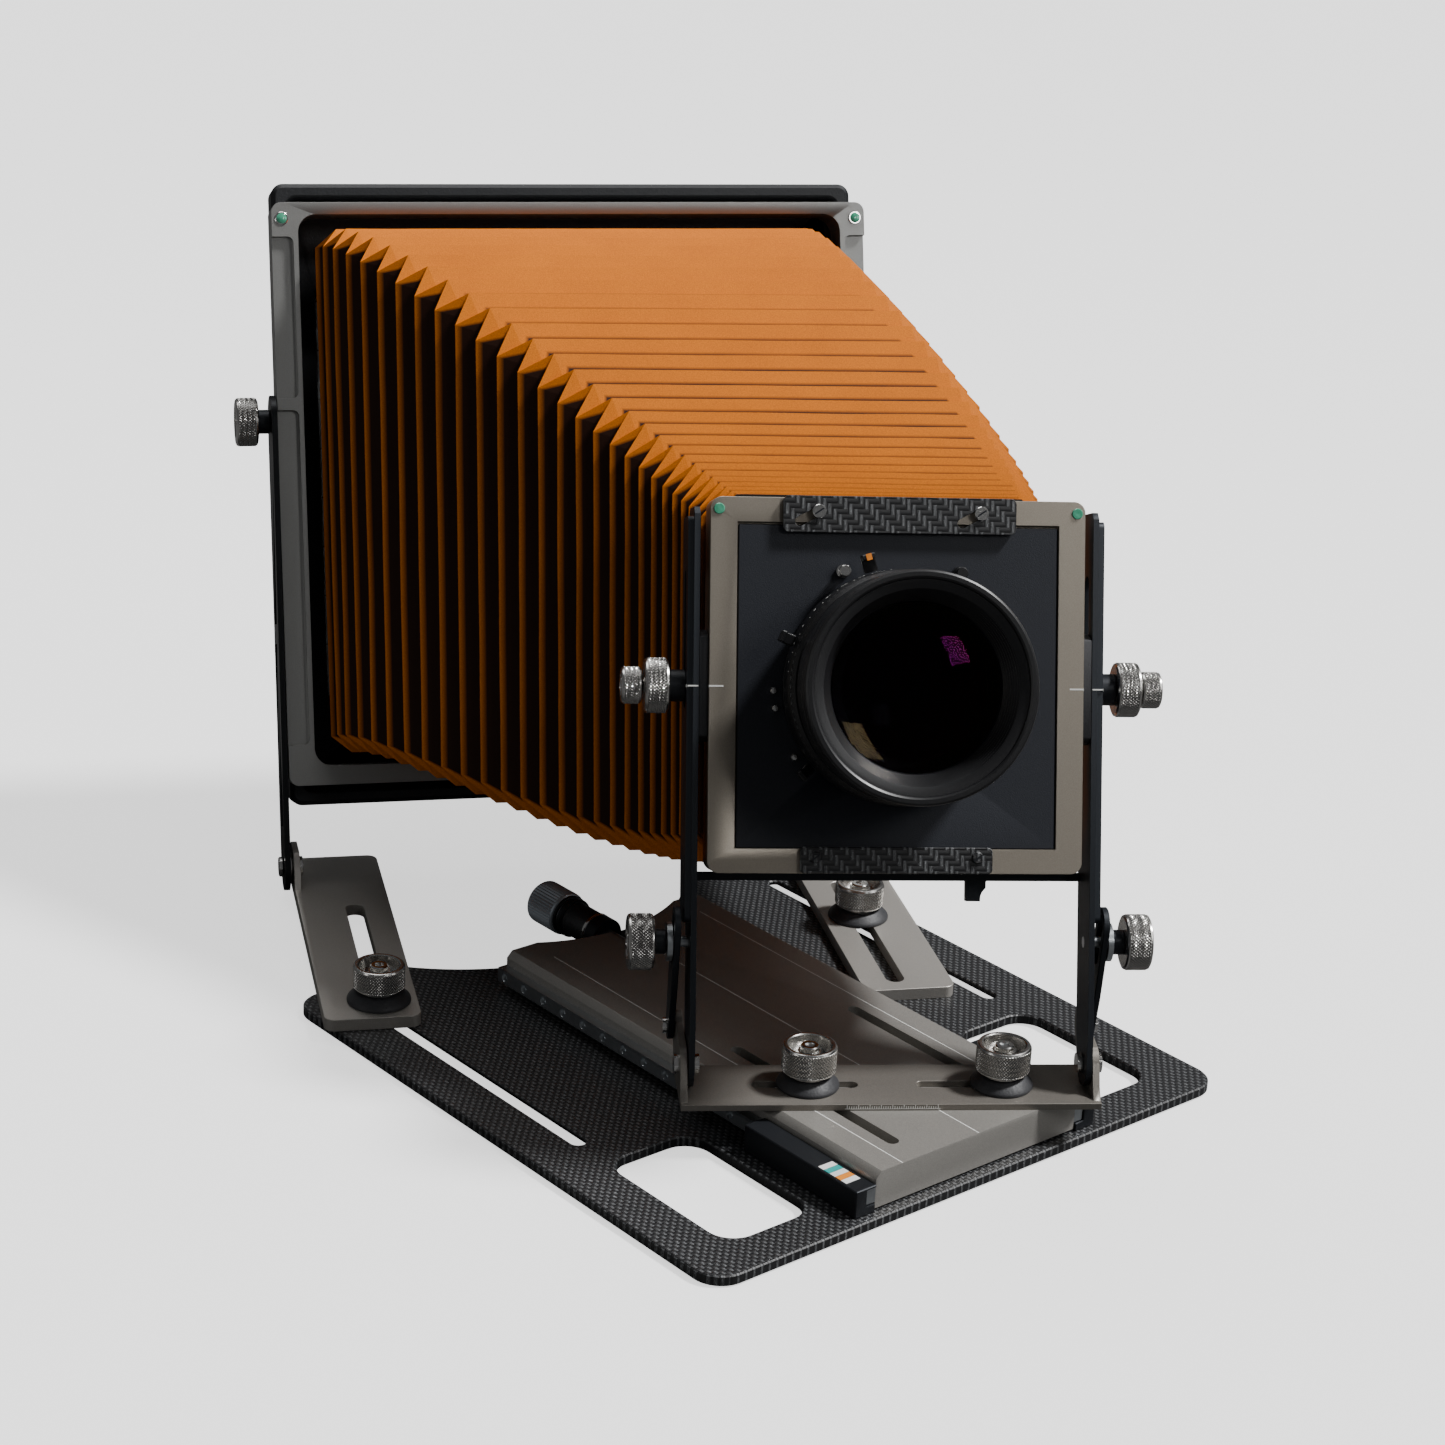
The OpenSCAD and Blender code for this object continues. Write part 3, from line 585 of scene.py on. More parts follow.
def band(radius, start, end, depth, rows):
    """the outline of a knurled band between two heights"""
    return [(radius, start + (end - start) * i / rows, depth) for i in range(rows + 1)]


joints = {joint["name"]: joint for joint in frame["joints"]}
screw_at = Vector(joints["focus_knob_turn"]["pos_m"])
screw_place = Matrix.Translation((screw_at.x, 0, screw_at.z)) @ Matrix.Rotation(math.radians(-90), 4, "X")
ribbed_alloy = blasted("ribbed_blue_grey_alloy", (0.5, 0.55, 0.6), 0.34, 0.5, 0.3, 0.1)
turned("ribbed_focus_knob", [(0, 140), (9.6, 140), (10.4, 140.4), (10.9, 141.2),
                             *band(11, 141.6, 158.4, 0.55, 4), (10.9, 158.9),
                             (10.3, 159.7), (9.4, 160), (6.4, 160), (6.0, 159.3), (0, 159.3)],
       screw_place, ribbed_alloy, "focus_drive", ["focus_knob"], ribs=44, crisp=24)
sleeve_black, tree, shader, at = start_finish("textured_black_sleeve", (0.02, 0.021, 0.023), 0.5, 0.2)
bobbles = grain(tree, at, 0.7, detail=1.0)
rough_by(tree, shader, bobbles, 0.3, 0.65)
relief(tree, shader, bobbles, 0.25)
plain("lead_screw", steel("lead_screw_steel", (0.3, 0.31, 0.33), 0.35, (1, 0.6, 1)))
turned("focus_sleeve", [(4.2, 118.2), (8.3, 118.2), (8.6, 118.7), (8.6, 133.6), (8.3, 134), (4.2, 134)],
       screw_place, sleeve_black,
       "focus_drive")
bright = steel("polished_steel", (0.8, 0.79, 0.77), 0.14)
turned("focus_rings", [(4.2, 116.6), (8.8, 116.6), (9.1, 116.9), (9.1, 117.9), (8.8, 118.15),
                       (4.2, 118.15)], screw_place, bright,
       "focus_drive")
turned("focus_collar", [(4.2, 134.1), (9.2, 134.1), (9.9, 134.8), (9.9, 136.8), (9.2, 137.2), (9.2, 137.6),
                        (10.2, 138),
                        (10.2, 139.5), (9.7, 139.95), (4.2, 139.95)], screw_place, black, "focus_drive")

# ---- Front base --------------------------------------------------------------------
# A bronze-grey bent plate with an upright ear at each end, two slots for its clamp
# studs and a white scale on its front edge. Leather-faced black washers sit under
# knurled cup knobs, which clamp it to the bed.
tilt_at = Vector(joints["front_base_tilt"]["pos_m"])
side_way = Vector(joints["front_base_tilt"]["axis"]).normalized()
post_way = Vector(joints["front_rise"]["axis"]).normalized()


def set_square(corner, x_way, z_way):
    """a place with its own X and Z directions"""
    y_way = z_way.cross(x_way)
    return Matrix.Translation(corner) @ Matrix((x_way, y_way, z_way)).transposed().to_4x4()


pin_height = 0.0135
bed_spot = set_square(tilt_at - Vector((0, 0, pin_height)), side_way, Vector((0, 0, 1)))
post_spot = set_square(tilt_at, side_way, post_way)
front_bronze = blasted("dark_bronze_anodised", (0.2, 0.185, 0.165), 0.42, 0.6, 0.34, 0.22)
machined("front_base_plate", front_bronze, 0.3)
slabs("front_scale", [((x - 0.16, -18.56, 0.9),
                       (x + 0.16, -18.3, 2.0 if (x + 20) % 5 else 2.7)) for x in range(-20, 21)]
      + [((-21, -18.56, 0.7), (21, -18.3, 0.95))], bed_spot, white_fill, "front_base")


def pebbled(name, colour, rough, size, tones, polish, depth, metal=0.0, place=None, detail=4.0):
    """a surface of fine pebbles or pores, with two tones and two degrees of polish"""
    material, tree, shader, at = start_finish(name, colour, rough, metal, place)
    pebbles = grain(tree, at, size, detail=detail)
    colour_by(tree, shader, pebbles, *tones)
    rough_by(tree, shader, pebbles, *polish)
    relief(tree, shader, pebbles, depth)
    return material


washer_hide = pebbled("black_washer_hide", (0.016, 0.017, 0.019), 0.55, 0.8,
                      ((0.01, 0.01, 0.012), (0.035, 0.036, 0.04)), (0.42, 0.7), 0.12)
machined("front_washers", washer_hide, 0.4)
plain("front_stud_right", rail_steel)
knurl_steel, tree, shader, at = start_finish("knurled_stainless", (0.72, 0.7, 0.67), 0.2, 1.0)
smudge = grain(tree, at, 2.5, detail=3.0)
metal_tone = colour_by(tree, shader, smudge, (0.5, 0.49, 0.47), (0.66, 0.645, 0.62))
# painted shade: the knurl's grooves are coloured near black, for the shade that falls in them
painted_groove_shade = tree.nodes.new("ShaderNodeAttribute")
painted_groove_shade.attribute_name = "groove"
colour_by(tree, shader, ranged(Reading(tree, painted_groove_shade.outputs["Fac"]), 0.4, 0.95, 1.0, 0.0),
          (0.06, 0.058, 0.055), metal_tone)
rough_by(tree, shader, smudge, 0.2, 0.3)
relief(tree, shader, grain(tree, at, 0.15), 0.01)


def cup_knob(name, spot, bore, height, wide, body, node):
    """a knurled cup knob with its clamp screw standing in the hollow top"""
    rim, floor = wide / 2, height - 6
    turned(name, [(bore, 0), (rim - 3, 0), (rim - 3, 1.5), (rim - 0.8, 1.5), (rim - 0.3, 2.0),
                  (rim - 0.3, 2.4), *band(rim, 2.5, height - 1.1, 0.5, 30),
                  (rim - 0.3, height - 1.0), (rim - 0.7, height - 0.2), (rim - 1.1, height),
                  (rim - 2.2, height), (rim - 2.6, height - 0.4),
                  (rim - 3.1, floor + 0.6), (rim - 3.6, floor), (6.2, floor), (5.4, floor + 0.5),
                  (5.2, floor + 3), (bore, floor + 3), (bore, 0)],
           spot, knurl_steel, body, [node], ribs=54, lean=0.62, crisp=12)
    turned(name + "_screw", [(0, floor + 3.05), (3.9, floor + 3.05), (4.2, floor + 3.4), (4.2, floor + 5.2),
                             (3.7, floor + 5.7),
                             (2.2, floor + 5.7), (1.9, floor + 4.2), (0, floor + 4.0)], spot, bright, body,
                             steps=36)


front_studs = [(-35.2, "front_knob_left"), (51.0, "front_knob_right")]
for x, node in front_studs:
    cup_knob(node + "_knurled", bed_spot @ Matrix.Translation((x / 1000, 0, 0.009)), 2.55, 14, 24.5, node,
             node)

# ---- Tilt struts and posts ---------------------------------------------------------
# Flat matt blue-black bars on pivot screws: two slotted struts lock the lean of the
# two posts, which a crossbar ties together low down. The white index line on each post
# marks the middle of the rise.
post_black = blasted("matt_blue_black", (0.014, 0.017, 0.022), 0.45, 0.45, 0.35, 0.25)
for node in ("tilt_struts", "front_posts", "post_crossbar"):
    machined(node, post_black, 0.3)
plain("ear_screws", bright)
plain("strut_studs", rail_steel)
slabs("post_index", [((side - 0.06 if side > 0 else side, -12.06, 163.9),
                      (side if side > 0 else side + 0.06, -4.6, 165.1)) for side in (-91.55, 91.55)]
      + [((x0, -12.06, 164.3), (x1, -11.7, 164.9)) for x0, x1 in ((-91.2, -86.6), (86.6, 91.2))],
      post_spot, white_fill, "posts")

# ---- Side knobs, shafts and discs --------------------------------------------------
# Solid stainless knobs with a diamond knurl: two lock the struts, and at lens height a
# broad one locks the tilt and a slim one outside it locks the rise, over black shafts
# and friction discs.
plain("axis_shafts", black)
machined("friction_discs", washer_hide, 0.4)


def side_knob(name, place, start, end, wide, bore, body, node, neck=None):
    """a solid knurled knob along the place's Z, with a black neck before it where it has one"""
    rim = wide / 2
    turned(name, [(bore, start), (rim - 1.6, start), (rim - 0.5, start + 0.5), (rim - 0.3, start + 1.2),
                  *band(rim, start + 1.3, end - 1.3, 0.5, 24),
                  (rim - 0.3, end - 1.2), (rim - 0.5, end - 0.5), (rim - 1.4, end), (rim * 0.62, end),
                  (rim * 0.58, end - 0.5), (bore, end - 0.5), (bore, start)],
           place, knurl_steel, body, [node], ribs=54 if wide > 20 else 38,
           lean=0.62 if wide > 20 else 0.7, crisp=12)
    turned(name + "_end_screw", [(0, end - 0.5), (bore + 1.2, end - 0.5), (bore + 1.2, end + 0.1),
                                 (bore + 0.8, end + 0.4), (1.5, end + 0.4),
                                 (1.3, end - 0.3), (0, end - 0.4)], place, bright, body,
                                 steps=32)
    if neck:
        turned(name + "_neck", [(bore, neck[0]), (neck[2] - 0.5, neck[0]), (neck[2], neck[0] + 0.5),
                                (neck[2], neck[1] - 0.4), (neck[2] - 0.4, neck[1]),
                                (bore, neck[1]), (bore, neck[0])], place, black, body,
                                steps=40)


# each knob's height up the post, its start, end and width, and its neck's start, end and radius
strut_height, axis_height = 53.2, 164.6
knob_rows = ((strut_height, 104, 115.5, 25, "strut_knob_", (98.7, 104, 5.5)),
             (axis_height, 98.7, 109.3, 24.4, "axis_knob_", None),
             (axis_height, 110.3, 119.3, 16.5, "rise_knob_", None))
for hand, side in (("left", -1), ("right", 1)):
    for height, start, end, wide, node, neck in knob_rows:
        spot = set_square(tilt_at + post_way * (height / 1000), post_way * -side, side_way * side)
        side_knob(node + hand + "_knurled", spot, start, end, wide, 2.55, node + hand, node + hand, neck)

# ---- Lens frame --------------------------------------------------------------------
# A square champagne-grey milled frame on the two shafts. Twill carbon strips hold the
# lens board: the upper one slides on slanted slots under two slotted screws, and the
# lower one is screwed fast. Two green level dots sit in the top corners.
champagne = blasted("champagne_anodised", (0.37, 0.33, 0.275), 0.4, 0.8, 0.34, 0.14)
machined("lens_frame", champagne, 0.5)
twill = carbon("twill_carbon", 2.3, True, post_spot, True)
machined("board_latch", twill, 0.35)
machined("bottom_clip", twill, 0.35)
machined("latch_screws", bright, 0.25)
vial_green, tree, shader, at = start_finish("green_level", (0.03, 0.3, 0.16), 0.08, Coat_Weight=1.0,
                                            Coat_Roughness=0.03)
colour_by(tree, shader, grain(tree, at, 2.0), (0.01, 0.16, 0.08), (0.12, 0.5, 0.32))
machined("level_vials", vial_green, 0.3)
slate = pebbled("textured_slate_black", (0.03, 0.036, 0.05), 0.5, 0.5,
                ((0.005, 0.006, 0.01), (0.016, 0.019, 0.028)), (0.42, 0.62), 0.07, 0.1, detail=3.0)
machined("lens_board", slate, 0.5)
slabs("frame_index", [((side * 82.15 - 0.05, -14.36, 163.9),
                       (side * 82.15 + 0.05, -8, 165.1)) for side in (-1, 1)]
      + [((min(side * 76, side * 82), -14.4, 164.25), (max(side * 76, side * 82), -14.2,
                                                       164.95)) for side in (-1, 1)],
      post_spot, white_fill, "lens_standard")
# dark flat marks for the driver slots of the latch screws and the clip screws, painted shade where the slots
# are, all left at one lean
slot_lean = 0.6
slot_way = side_way * math.cos(slot_lean) + post_way * math.sin(slot_lean)
for x in (-35.5, 35.5):
    for z, y in ((240.4, -18.95), (91.0, -18.45)):
        centre = post_spot @ Vector((x / 1000, y / 1000, z / 1000))
        slabs(f"painted_slot_shade_{'l' if x < 0 else 'r'}{int(z)}", [((-2.3, -0.35, -0.05), (2.3, 0.35, 0.05))],
              set_square(centre, slot_way, post_way.cross(side_way) * -1), black, "lens_standard")

# ---- Lens and shutter --------------------------------------------------------------
# A large lens in a leaf shutter: black lacquered rings turned in one, a ribbed hood
# cone that kills stray light, coated glass at both ends and blackened iris blades. The
# shutter carries a white-filled time scale and its levers round the rim.
lens_spot = set_square(tilt_at + post_way * (axis_height / 1000), side_way, post_way.cross(side_way) * -1)
lacquer = pebbled("shutter_lacquer", (0.011, 0.011, 0.012), 0.3, 0.6,
                  ((0.004, 0.004, 0.005), (0.011, 0.011, 0.012)), (0.3, 0.46), 0.012, 0.1, lens_spot)
plain("iris_blades", blasted("blackened_blades", (0.012, 0.012, 0.013), 0.5, 0.3))
turned("shutter_case", [(29, 7), (32.4, 7), (32.4, 13.8), (49, 13.8), (50, 14.3), (50.6, 15), (50.6, 19),
                        (49.8, 19.6), (49.8, 20.4), (50.8, 21),
                        (50.8, 36), (50, 37.4), (48.5, 38), (30, 38), (30, 30), (45, 30), (45, 22),
                        (29, 22), (29, 7)],
       lens_spot, lacquer, "lens_standard", ["shutter_body"], steps=128)
turned("speed_ring_knurled", [(42, 38.3), (49.3, 38.3), (50.2, 39), *band(50.3, 39.2, 41, 0.5, 3),
                              (50.1, 41.2), (48.6, 44), (42, 44), (42, 38.3)],
       lens_spot, lacquer, "speed_ring", ["speed_ring"], ribs=90)
threads = [(41.2 - 0.33 * i + (0.45 if i % 2 else 0), 77.4 - 0.92 * i) for i in range(15)]
turned("lens_hood", [(30, 38), (41.5, 38), (41.5, 49.6), (44.6, 50.4), (48.4, 53), (49.2, 54.4),
                     (49.2, 68.4), (48.7, 68.9), (48.7, 69.7), (49.3, 70.2),
                     (49.3, 78.4), (48.9, 79.4), (48.1, 80), (46.4, 80), (45.6, 79.4), (45.2, 78.4),
                     (43.2, 78.2), *threads, (36.2, 63), (36, 56), (30, 56), (30, 38)],
       lens_spot, lacquer, "lens_standard", ["lens_barrel"], steps=160, crisp=20)
turned("rear_cell_ribbed", [(26, 6.8), (34.5, 6.8), (36, 5), (36, -8), *band(36, -8.5, -18, 0.4, 4),
                            (36, -18.5), (36, -26), (33, -29), (29, -29), (29, -20), (26, -20), (26, 6.8)],
       lens_spot, lacquer, "lens_standard", ["rear_cell"], ribs=80)
coating, tree, shader, at = start_finish("coated_glass", (0.22, 0.25, 0.28), 0.015, 0.0, lens_spot,
                                         Transmission_Weight=1.0, IOR=1.6,
                                         Thin_Film_Thickness=106.0, Thin_Film_IOR=1.27)
rough_by(tree, shader, grain(tree, at, 9), 0.008, 0.03)
turned("front_element", [(0, 57), (35.9, 57), (35.9, 62), (31, 63.9), (25, 65.4), (18, 66.6), (12, 67.2),
                         (6, 67.5), (0, 67.6)],
       lens_spot, coating, "lens_standard", ["front_glass"], steps=96, crisp=25)
turned("rear_element", [(0, -21), (28.9, -21), (28.9, -23), (22, -24.9), (14, -26.2), (7, -27.1), (0, -27.4)],
       lens_spot, coating, "lens_standard", ["rear_glass"], steps=96, crisp=25)
# painted shade: an opaque near-black element inside the lens, put where the inside of the lens is in shade
painted_dark_inside, tree, shader, at = start_finish("painted_dark_inside_glass", (0.003, 0.004, 0.006), 0.08, 0.0, lens_spot,
                                      IOR=1.12)
rough_by(tree, shader, grain(tree, at, 6), 0.03, 0.07)
turned("inner_element", [(0, 39), (28.5, 39), (28.5, 46), (24, 44.2), (16, 42.5), (8, 41.5), (0, 41.2)],
       lens_spot, painted_dark_inside, "lens_standard", steps=96, crisp=25)
for lever in ("aperture_lever", "cocking_lever", "release_lever"):
    machined(lever, lacquer, 0.5)


def round_lens(angle, radius, depth, spin=0.0):
    """a place on the shutter: an angle from the right, a radius and a distance in front"""
    return (lens_spot @ Matrix.Rotation(math.radians(angle), 4, "Z") @ Matrix.Translation((radius / 1000, 0,
                                        depth / 1000))
            @ Matrix.Rotation(math.radians(spin), 4, "Z"))


# generic shutter times on the ring's slope, and ticks between them
def numeral(text, tall):
    """a flat number as a plain mesh, in millimetres, centred"""
    words = bpy.data.curves.new("number_" + text, "FONT")
    words.body = text
    words.size = tall
    words.align_x = "CENTER"
    words.align_y = "CENTER"
    words.resolution_u = 2
    words.extrude = 0.02
    holder = bpy.data.objects.new("number_" + text, words)
    bpy.context.collection.objects.link(holder)
    bpy.context.view_layer.update()
    mesh = bpy.data.meshes.new_from_object(holder.evaluated_get(bpy.context.evaluated_depsgraph_get()))
    bpy.data.objects.remove(holder)
    return mesh


first_number, number_step = 168, 9.4
scale_marks = bmesh.new()
for index, number in enumerate(("1", "2", "4", "8", "15", "30", "60", "125")):
    mesh = numeral(number, 3.4)
    spin = Matrix.Rotation(math.radians(first_number - number_step * index), 4, "Z")
    mesh.transform(spin @ Matrix.Translation((50.9, 0, 30)) @ Matrix.Rotation(math.radians(90), 4, "Y")
                   @ Matrix.Rotation(math.radians(90), 4, "Z"))
    scale_marks.from_mesh(mesh)
for index in range(9):
    tick = bmesh.ops.create_cube(scale_marks, size=1.0)["verts"]
    spin = Matrix.Rotation(math.radians(first_number + number_step / 2 - number_step * index), 4, "Z")
    for vert in tick:
        vert.co = spin @ Vector((50.85 + vert.co.x * 0.1, vert.co.y * 0.35, 34.5 + vert.co.z * 2.0))
mesh = bpy.data.meshes.new("time_scale")
scale_marks.to_mesh(mesh)
scale_marks.free()
mesh.transform(lens_spot @ Matrix.Scale(0.001, 4))
join_in("time_scale", mesh, white_fill, "lens_standard")
post_outline = [(0, 0), (2.6, 0), (2.9, 0.4), (2.9, 1.2), (2.0, 1.6), (2.0, 6.4), (2.6, 6.8), (2.6, 8.4),
                (2.2, 8.9), (0, 8.9)]
for label, angle, radius in (("upper_post", 116, 55.8), ("sync_post", 62, 56.5)):
    turned(label, [(r, h) for r, h in post_outline], round_lens(angle, radius, 13.8),
           bright if label == "upper_post" else lacquer, "lens_standard",
           steps=28)
for label, angle in (("stud_a", 182), ("stud_b", 190), ("stud_c", 214)):
    turned(label, [(0, 0), (1.3, 0), (1.5, 0.3), (1.5, 3.4), (1.1, 4.0), (0, 4.1)],
           round_lens(angle, 54.5, 13.8), bright, "lens_standard",
           steps=20)
orange_paint = paint("orange_index", (0.8, 0.24, 0.02))
slabs("lever_index", [((56.6, -1.2, 33.7), (59.4, 1.2, 33.85))],
      lens_spot @ Matrix.Rotation(math.radians(106), 4, "Z"), orange_paint,
      "cocking_lever")

# ---- Rear feet ---------------------------------------------------------------------
# Two long grey anodised feet with round-cornered ends, slotted for their clamp studs,
# each with an upright bracket at its tail that a bolt joins to the arm.
rear_tilt = joints["rear_axis_tilt"]
rear_side = Vector(rear_tilt["axis"]).normalized()
rear_back = Vector(joints["spring_back_lift"]["axis"]).normalized()
rear_up = rear_side.cross(rear_back)
arm_axis_depth, arm_axis_height = 0.008, 0.241
rear_foot = Vector(rear_tilt["pos_m"]) - rear_back * arm_axis_depth - rear_up * arm_axis_height
rear_spot = set_square(rear_foot, rear_side, rear_up)
foot_spot = set_square(rear_spot.to_translation(), rear_side, Vector((0, 0, 1)))
foot_grey = blasted("foot_grey_anodised", (0.42, 0.40, 0.37), 0.38, 0.6, 0.34, 0.14)
machined("rear_feet", foot_grey, 0.6)
machined("foot_washers", washer_hide, 0.4)
plain("foot_stud_right", rail_steel)
machined("rear_slide_bolt", rail_steel, 0.2)
machined("foot_bolts", bright, 0.4)
for x, y, node in ((-124, -122.6, "foot_knob_left"), (124, -57.9, "foot_knob_right")):
    cup_knob(node + "_knurled", foot_spot @ Matrix.Translation((x / 1000, y / 1000, 0.0116)), 3.05, 13,
             24.5, node, node)

# ---- Rear arms and frame -----------------------------------------------------------
# Black lattice arms, waterjet cut from 3 mm plate, hold a wide grey frame near its
# middle between two knurled knobs. The frame is a milled ring with a pocket down each
# side and a level dot in each top corner.
arm_black = blasted("arm_black", (0.014, 0.015, 0.017), 0.35, 0.6, 0.3, 0.25)
machined("rear_arms", arm_black, 0.5)
frame_grey = blasted("frame_grey_anodised", (0.30, 0.30, 0.29), 0.42, 0.8, 0.34, 0.12)
machined("rear_frame", frame_grey, 0.5)
for hand, side in (("left", -1), ("right", 1)):
    spot = set_square(Vector(rear_tilt["pos_m"]), rear_up * -side, rear_side * side)
    side_knob("rear_axis_knob_" + hand + "_knurled", spot, 161.5, 172.4, 24.4, 0.4, "rear_knob_" + hand,
              "rear_axis_knob_" + hand, (155.5, 161.5, 6))
for label, x in (("left", -147), ("right", 147)):
    spot = set_square(rear_spot @ Vector((x / 1000, 0, 0.341)), rear_side, rear_back * -1)
    turned("rear_level_" + label, [(0, 0), (2.6, 0), (2.6, 0.5), (2.2, 0.8), (0, 1.0)], spot, vial_green,
           "rear_standard", steps=28)
    turned("rear_level_ring_" + label, [(2.6, 0), (3.3, 0), (3.3, 0.4), (3.0, 0.6), (2.6, 0.6), (2.6, 0)],
           spot, bright, "rear_standard", steps=28)

# ---- Back --------------------------------------------------------------------------
# A black grained back behind the frame, with a sprung frame for the ground glass. Two
# flat springs press it home, and it lifts for the film holder.
grained = pebbled("black_grained_back", (0.018, 0.019, 0.022), 0.5, 1.1,
                  ((0.005, 0.0055, 0.0065), (0.016, 0.017, 0.02)), (0.4, 0.66), 0.16, 0.2)
machined("back_frame", grained, 2.2)
machined("glass_frame", grained, 0.8)
machined("back_springs", steel("spring_steel", (0.6, 0.6, 0.6), 0.24, (1, 1, 20)), 0.2)
ground, tree, shader, at = start_finish("ground_glass", (0.86, 0.9, 0.89), 0.5, 0.0, rear_spot,
                                        Transmission_Weight=0.75, IOR=1.5)
frost = grain(tree, at, 0.12, detail=3.0)
grid_step, half_stroke, glass_middle = 25, 0.008, 204
x, _, z = along(tree, at)
upright_lines, level_lines = ((((distance / grid_step) + 0.5) % 1 - 0.5).by("ABSOLUTE").by("LESS_THAN",
                                        half_stroke)
                              for distance in (x, z - glass_middle))
colour_by(tree, shader, upright_lines.by("MAXIMUM", level_lines), (0.82, 0.86, 0.85), (0.2, 0.22, 0.22))
rough_by(tree, shader, frost, 0.45, 0.7)
relief(tree, shader, frost, 0.03)
plain("ground_glass", ground)

# ---- Bellows -----------------------------------------------------------------------
# Orange cloth over card stiffeners, lined with black and folded into square pleats that
# go from the rear frame's window to the back of the lens frame. The ridges of the top
# and bottom lie between those of the sides, so each corner is a row of pointed folds.
# A tree folds it along a line of stations, each with its own size and lean, and stores the painted shade for
# the cloth's colour.
orange, tree, shader, at = start_finish("orange_bellows_cloth", (0.55, 0.12, 0.004), 0.7, 0.0, None,
                                        Specular_IOR_Level=0.2)
weave = grain(tree, at, 0.55, detail=3.0)
wear = grain(tree, at, 30)
tone = (ranged(weave, 0.3, 0.7, 0.0, 1.0) * 0.6 + wear * 0.4).by("MINIMUM", 1.0)
cloth = colour_by(tree, shader, tone, (0.42, 0.10, 0.0), (0.70, 0.19, 0.0))
# painted shade: the cloth's colour goes to near black where the shading stored on the bellows is low
folded = tree.nodes.new("ShaderNodeAttribute")
folded.attribute_name = "painted_shade"
colour_by(tree, shader, ranged(Reading(tree, folded.outputs["Fac"]), 0.42, 0.56, 0.0, 1.0),
          (0.02, 0.004, 0.0), cloth)
rough_by(tree, shader, weave, 0.6, 0.8)
relief(tree, shader, weave, 0.07)
lining, tree, shader, at = start_finish("black_bellows_lining", (0.01, 0.01, 0.01), 0.8)
relief(tree, shader, grain(tree, at, 0.4), 0.08)

half_folds = 55
pleating = bpy.data.node_groups.new("pleated_bellows", "GeometryNodeTree")
pleating.interface.new_socket("Stations", in_out="INPUT", socket_type="NodeSocketGeometry")
pleating_inputs = {}
for label, kind in (("Points Per Side", "NodeSocketInt"), ("Ridge Height", "NodeSocketFloat"),
                    ("Valley Depth", "NodeSocketFloat"),
                    ("Unevenness", "NodeSocketFloat"), ("Finish", "NodeSocketMaterial")):
    pleating_inputs[label] = pleating.interface.new_socket(label, in_out="INPUT", socket_type=kind).identifier
pleating.interface.new_socket("Bellows", in_out="OUTPUT", socket_type="NodeSocketGeometry")
fold = Tree(pleating)
stations = fold.given.outputs["Stations"]
per_side = fold.read(fold.given.outputs["Points Per Side"])
mesh, turn, row = fold.rolled_grid(stations, per_side * 4 + 1)
column = (turn * (per_side * 4)).by("ROUND")
side = (column / per_side).floor() % 4
reach = (column % per_side) / (per_side - 1) * 2 - 1
upright = side % 2
level_side = upright * -1 + 1
half_w, half_h, corner = (fold.read(fold.sample(stations, "FLOAT", fold.named(name, "FLOAT"), row))
                          for name in ("half_width", "half_height", "corner"))
ridge = (row + side) % 2
valley = (fold.read(fold.given.outputs["Valley Depth"]) * -1) * (ridge * -1 + 1)
fold_height = valley + fold.read(fold.given.outputs["Ridge Height"]) * ridge
uneven = fold.add("ShaderNodeTexNoise", noise_dimensions="3D")
uneven.inputs["Scale"].default_value = 1.0
seed = fold.add("ShaderNodeCombineXYZ", {"X": row * 0.9, "Y": side * 7.3, "Z": reach * 1.4})
pleating.links.new(seed.outputs[0], uneven.inputs["Vector"])
wander = (fold.read(uneven.outputs["Fac"]) - 0.5) * fold.read(fold.given.outputs["Unevenness"]) * 2
par = (half_w * level_side + half_h * upright - corner) * reach
perp = half_h * level_side + half_w * upright + fold_height + wander
quarter = side * (-math.pi / 2)
across = par * quarter.by("COSINE") - perp * quarter.by("SINE")
up = par * quarter.by("SINE") + perp * quarter.by("COSINE")


def step_along(name, distance):
    """a station's own direction, as long as the distance"""
    scaled = fold.add("ShaderNodeVectorMath", operation="SCALE")
    pleating.links.new(fold.sample(stations, "FLOAT_VECTOR", fold.named(name, "FLOAT_VECTOR"), row),
                       scaled.inputs[0])
    pleating.links.new(distance.socket, scaled.inputs["Scale"])
    return scaled.outputs[0]


def added(first, second):
    """the sum of two directions or places"""
    node = fold.add("ShaderNodeVectorMath", operation="ADD")
    pleating.links.new(first, node.inputs[0])
    pleating.links.new(second, node.inputs[1])
    return node.outputs[0]


centre = fold.sample(stations, "FLOAT_VECTOR", fold.add("GeometryNodeInputPosition").outputs[0], row)
spot = added(centre, added(step_along("across", across), step_along("up", up)))
marked = fold.add("GeometryNodeStoreNamedAttribute", {"Geometry": mesh, "Value": row}, data_type="FLOAT",
                  domain="POINT")
marked.inputs["Name"].default_value = "station"
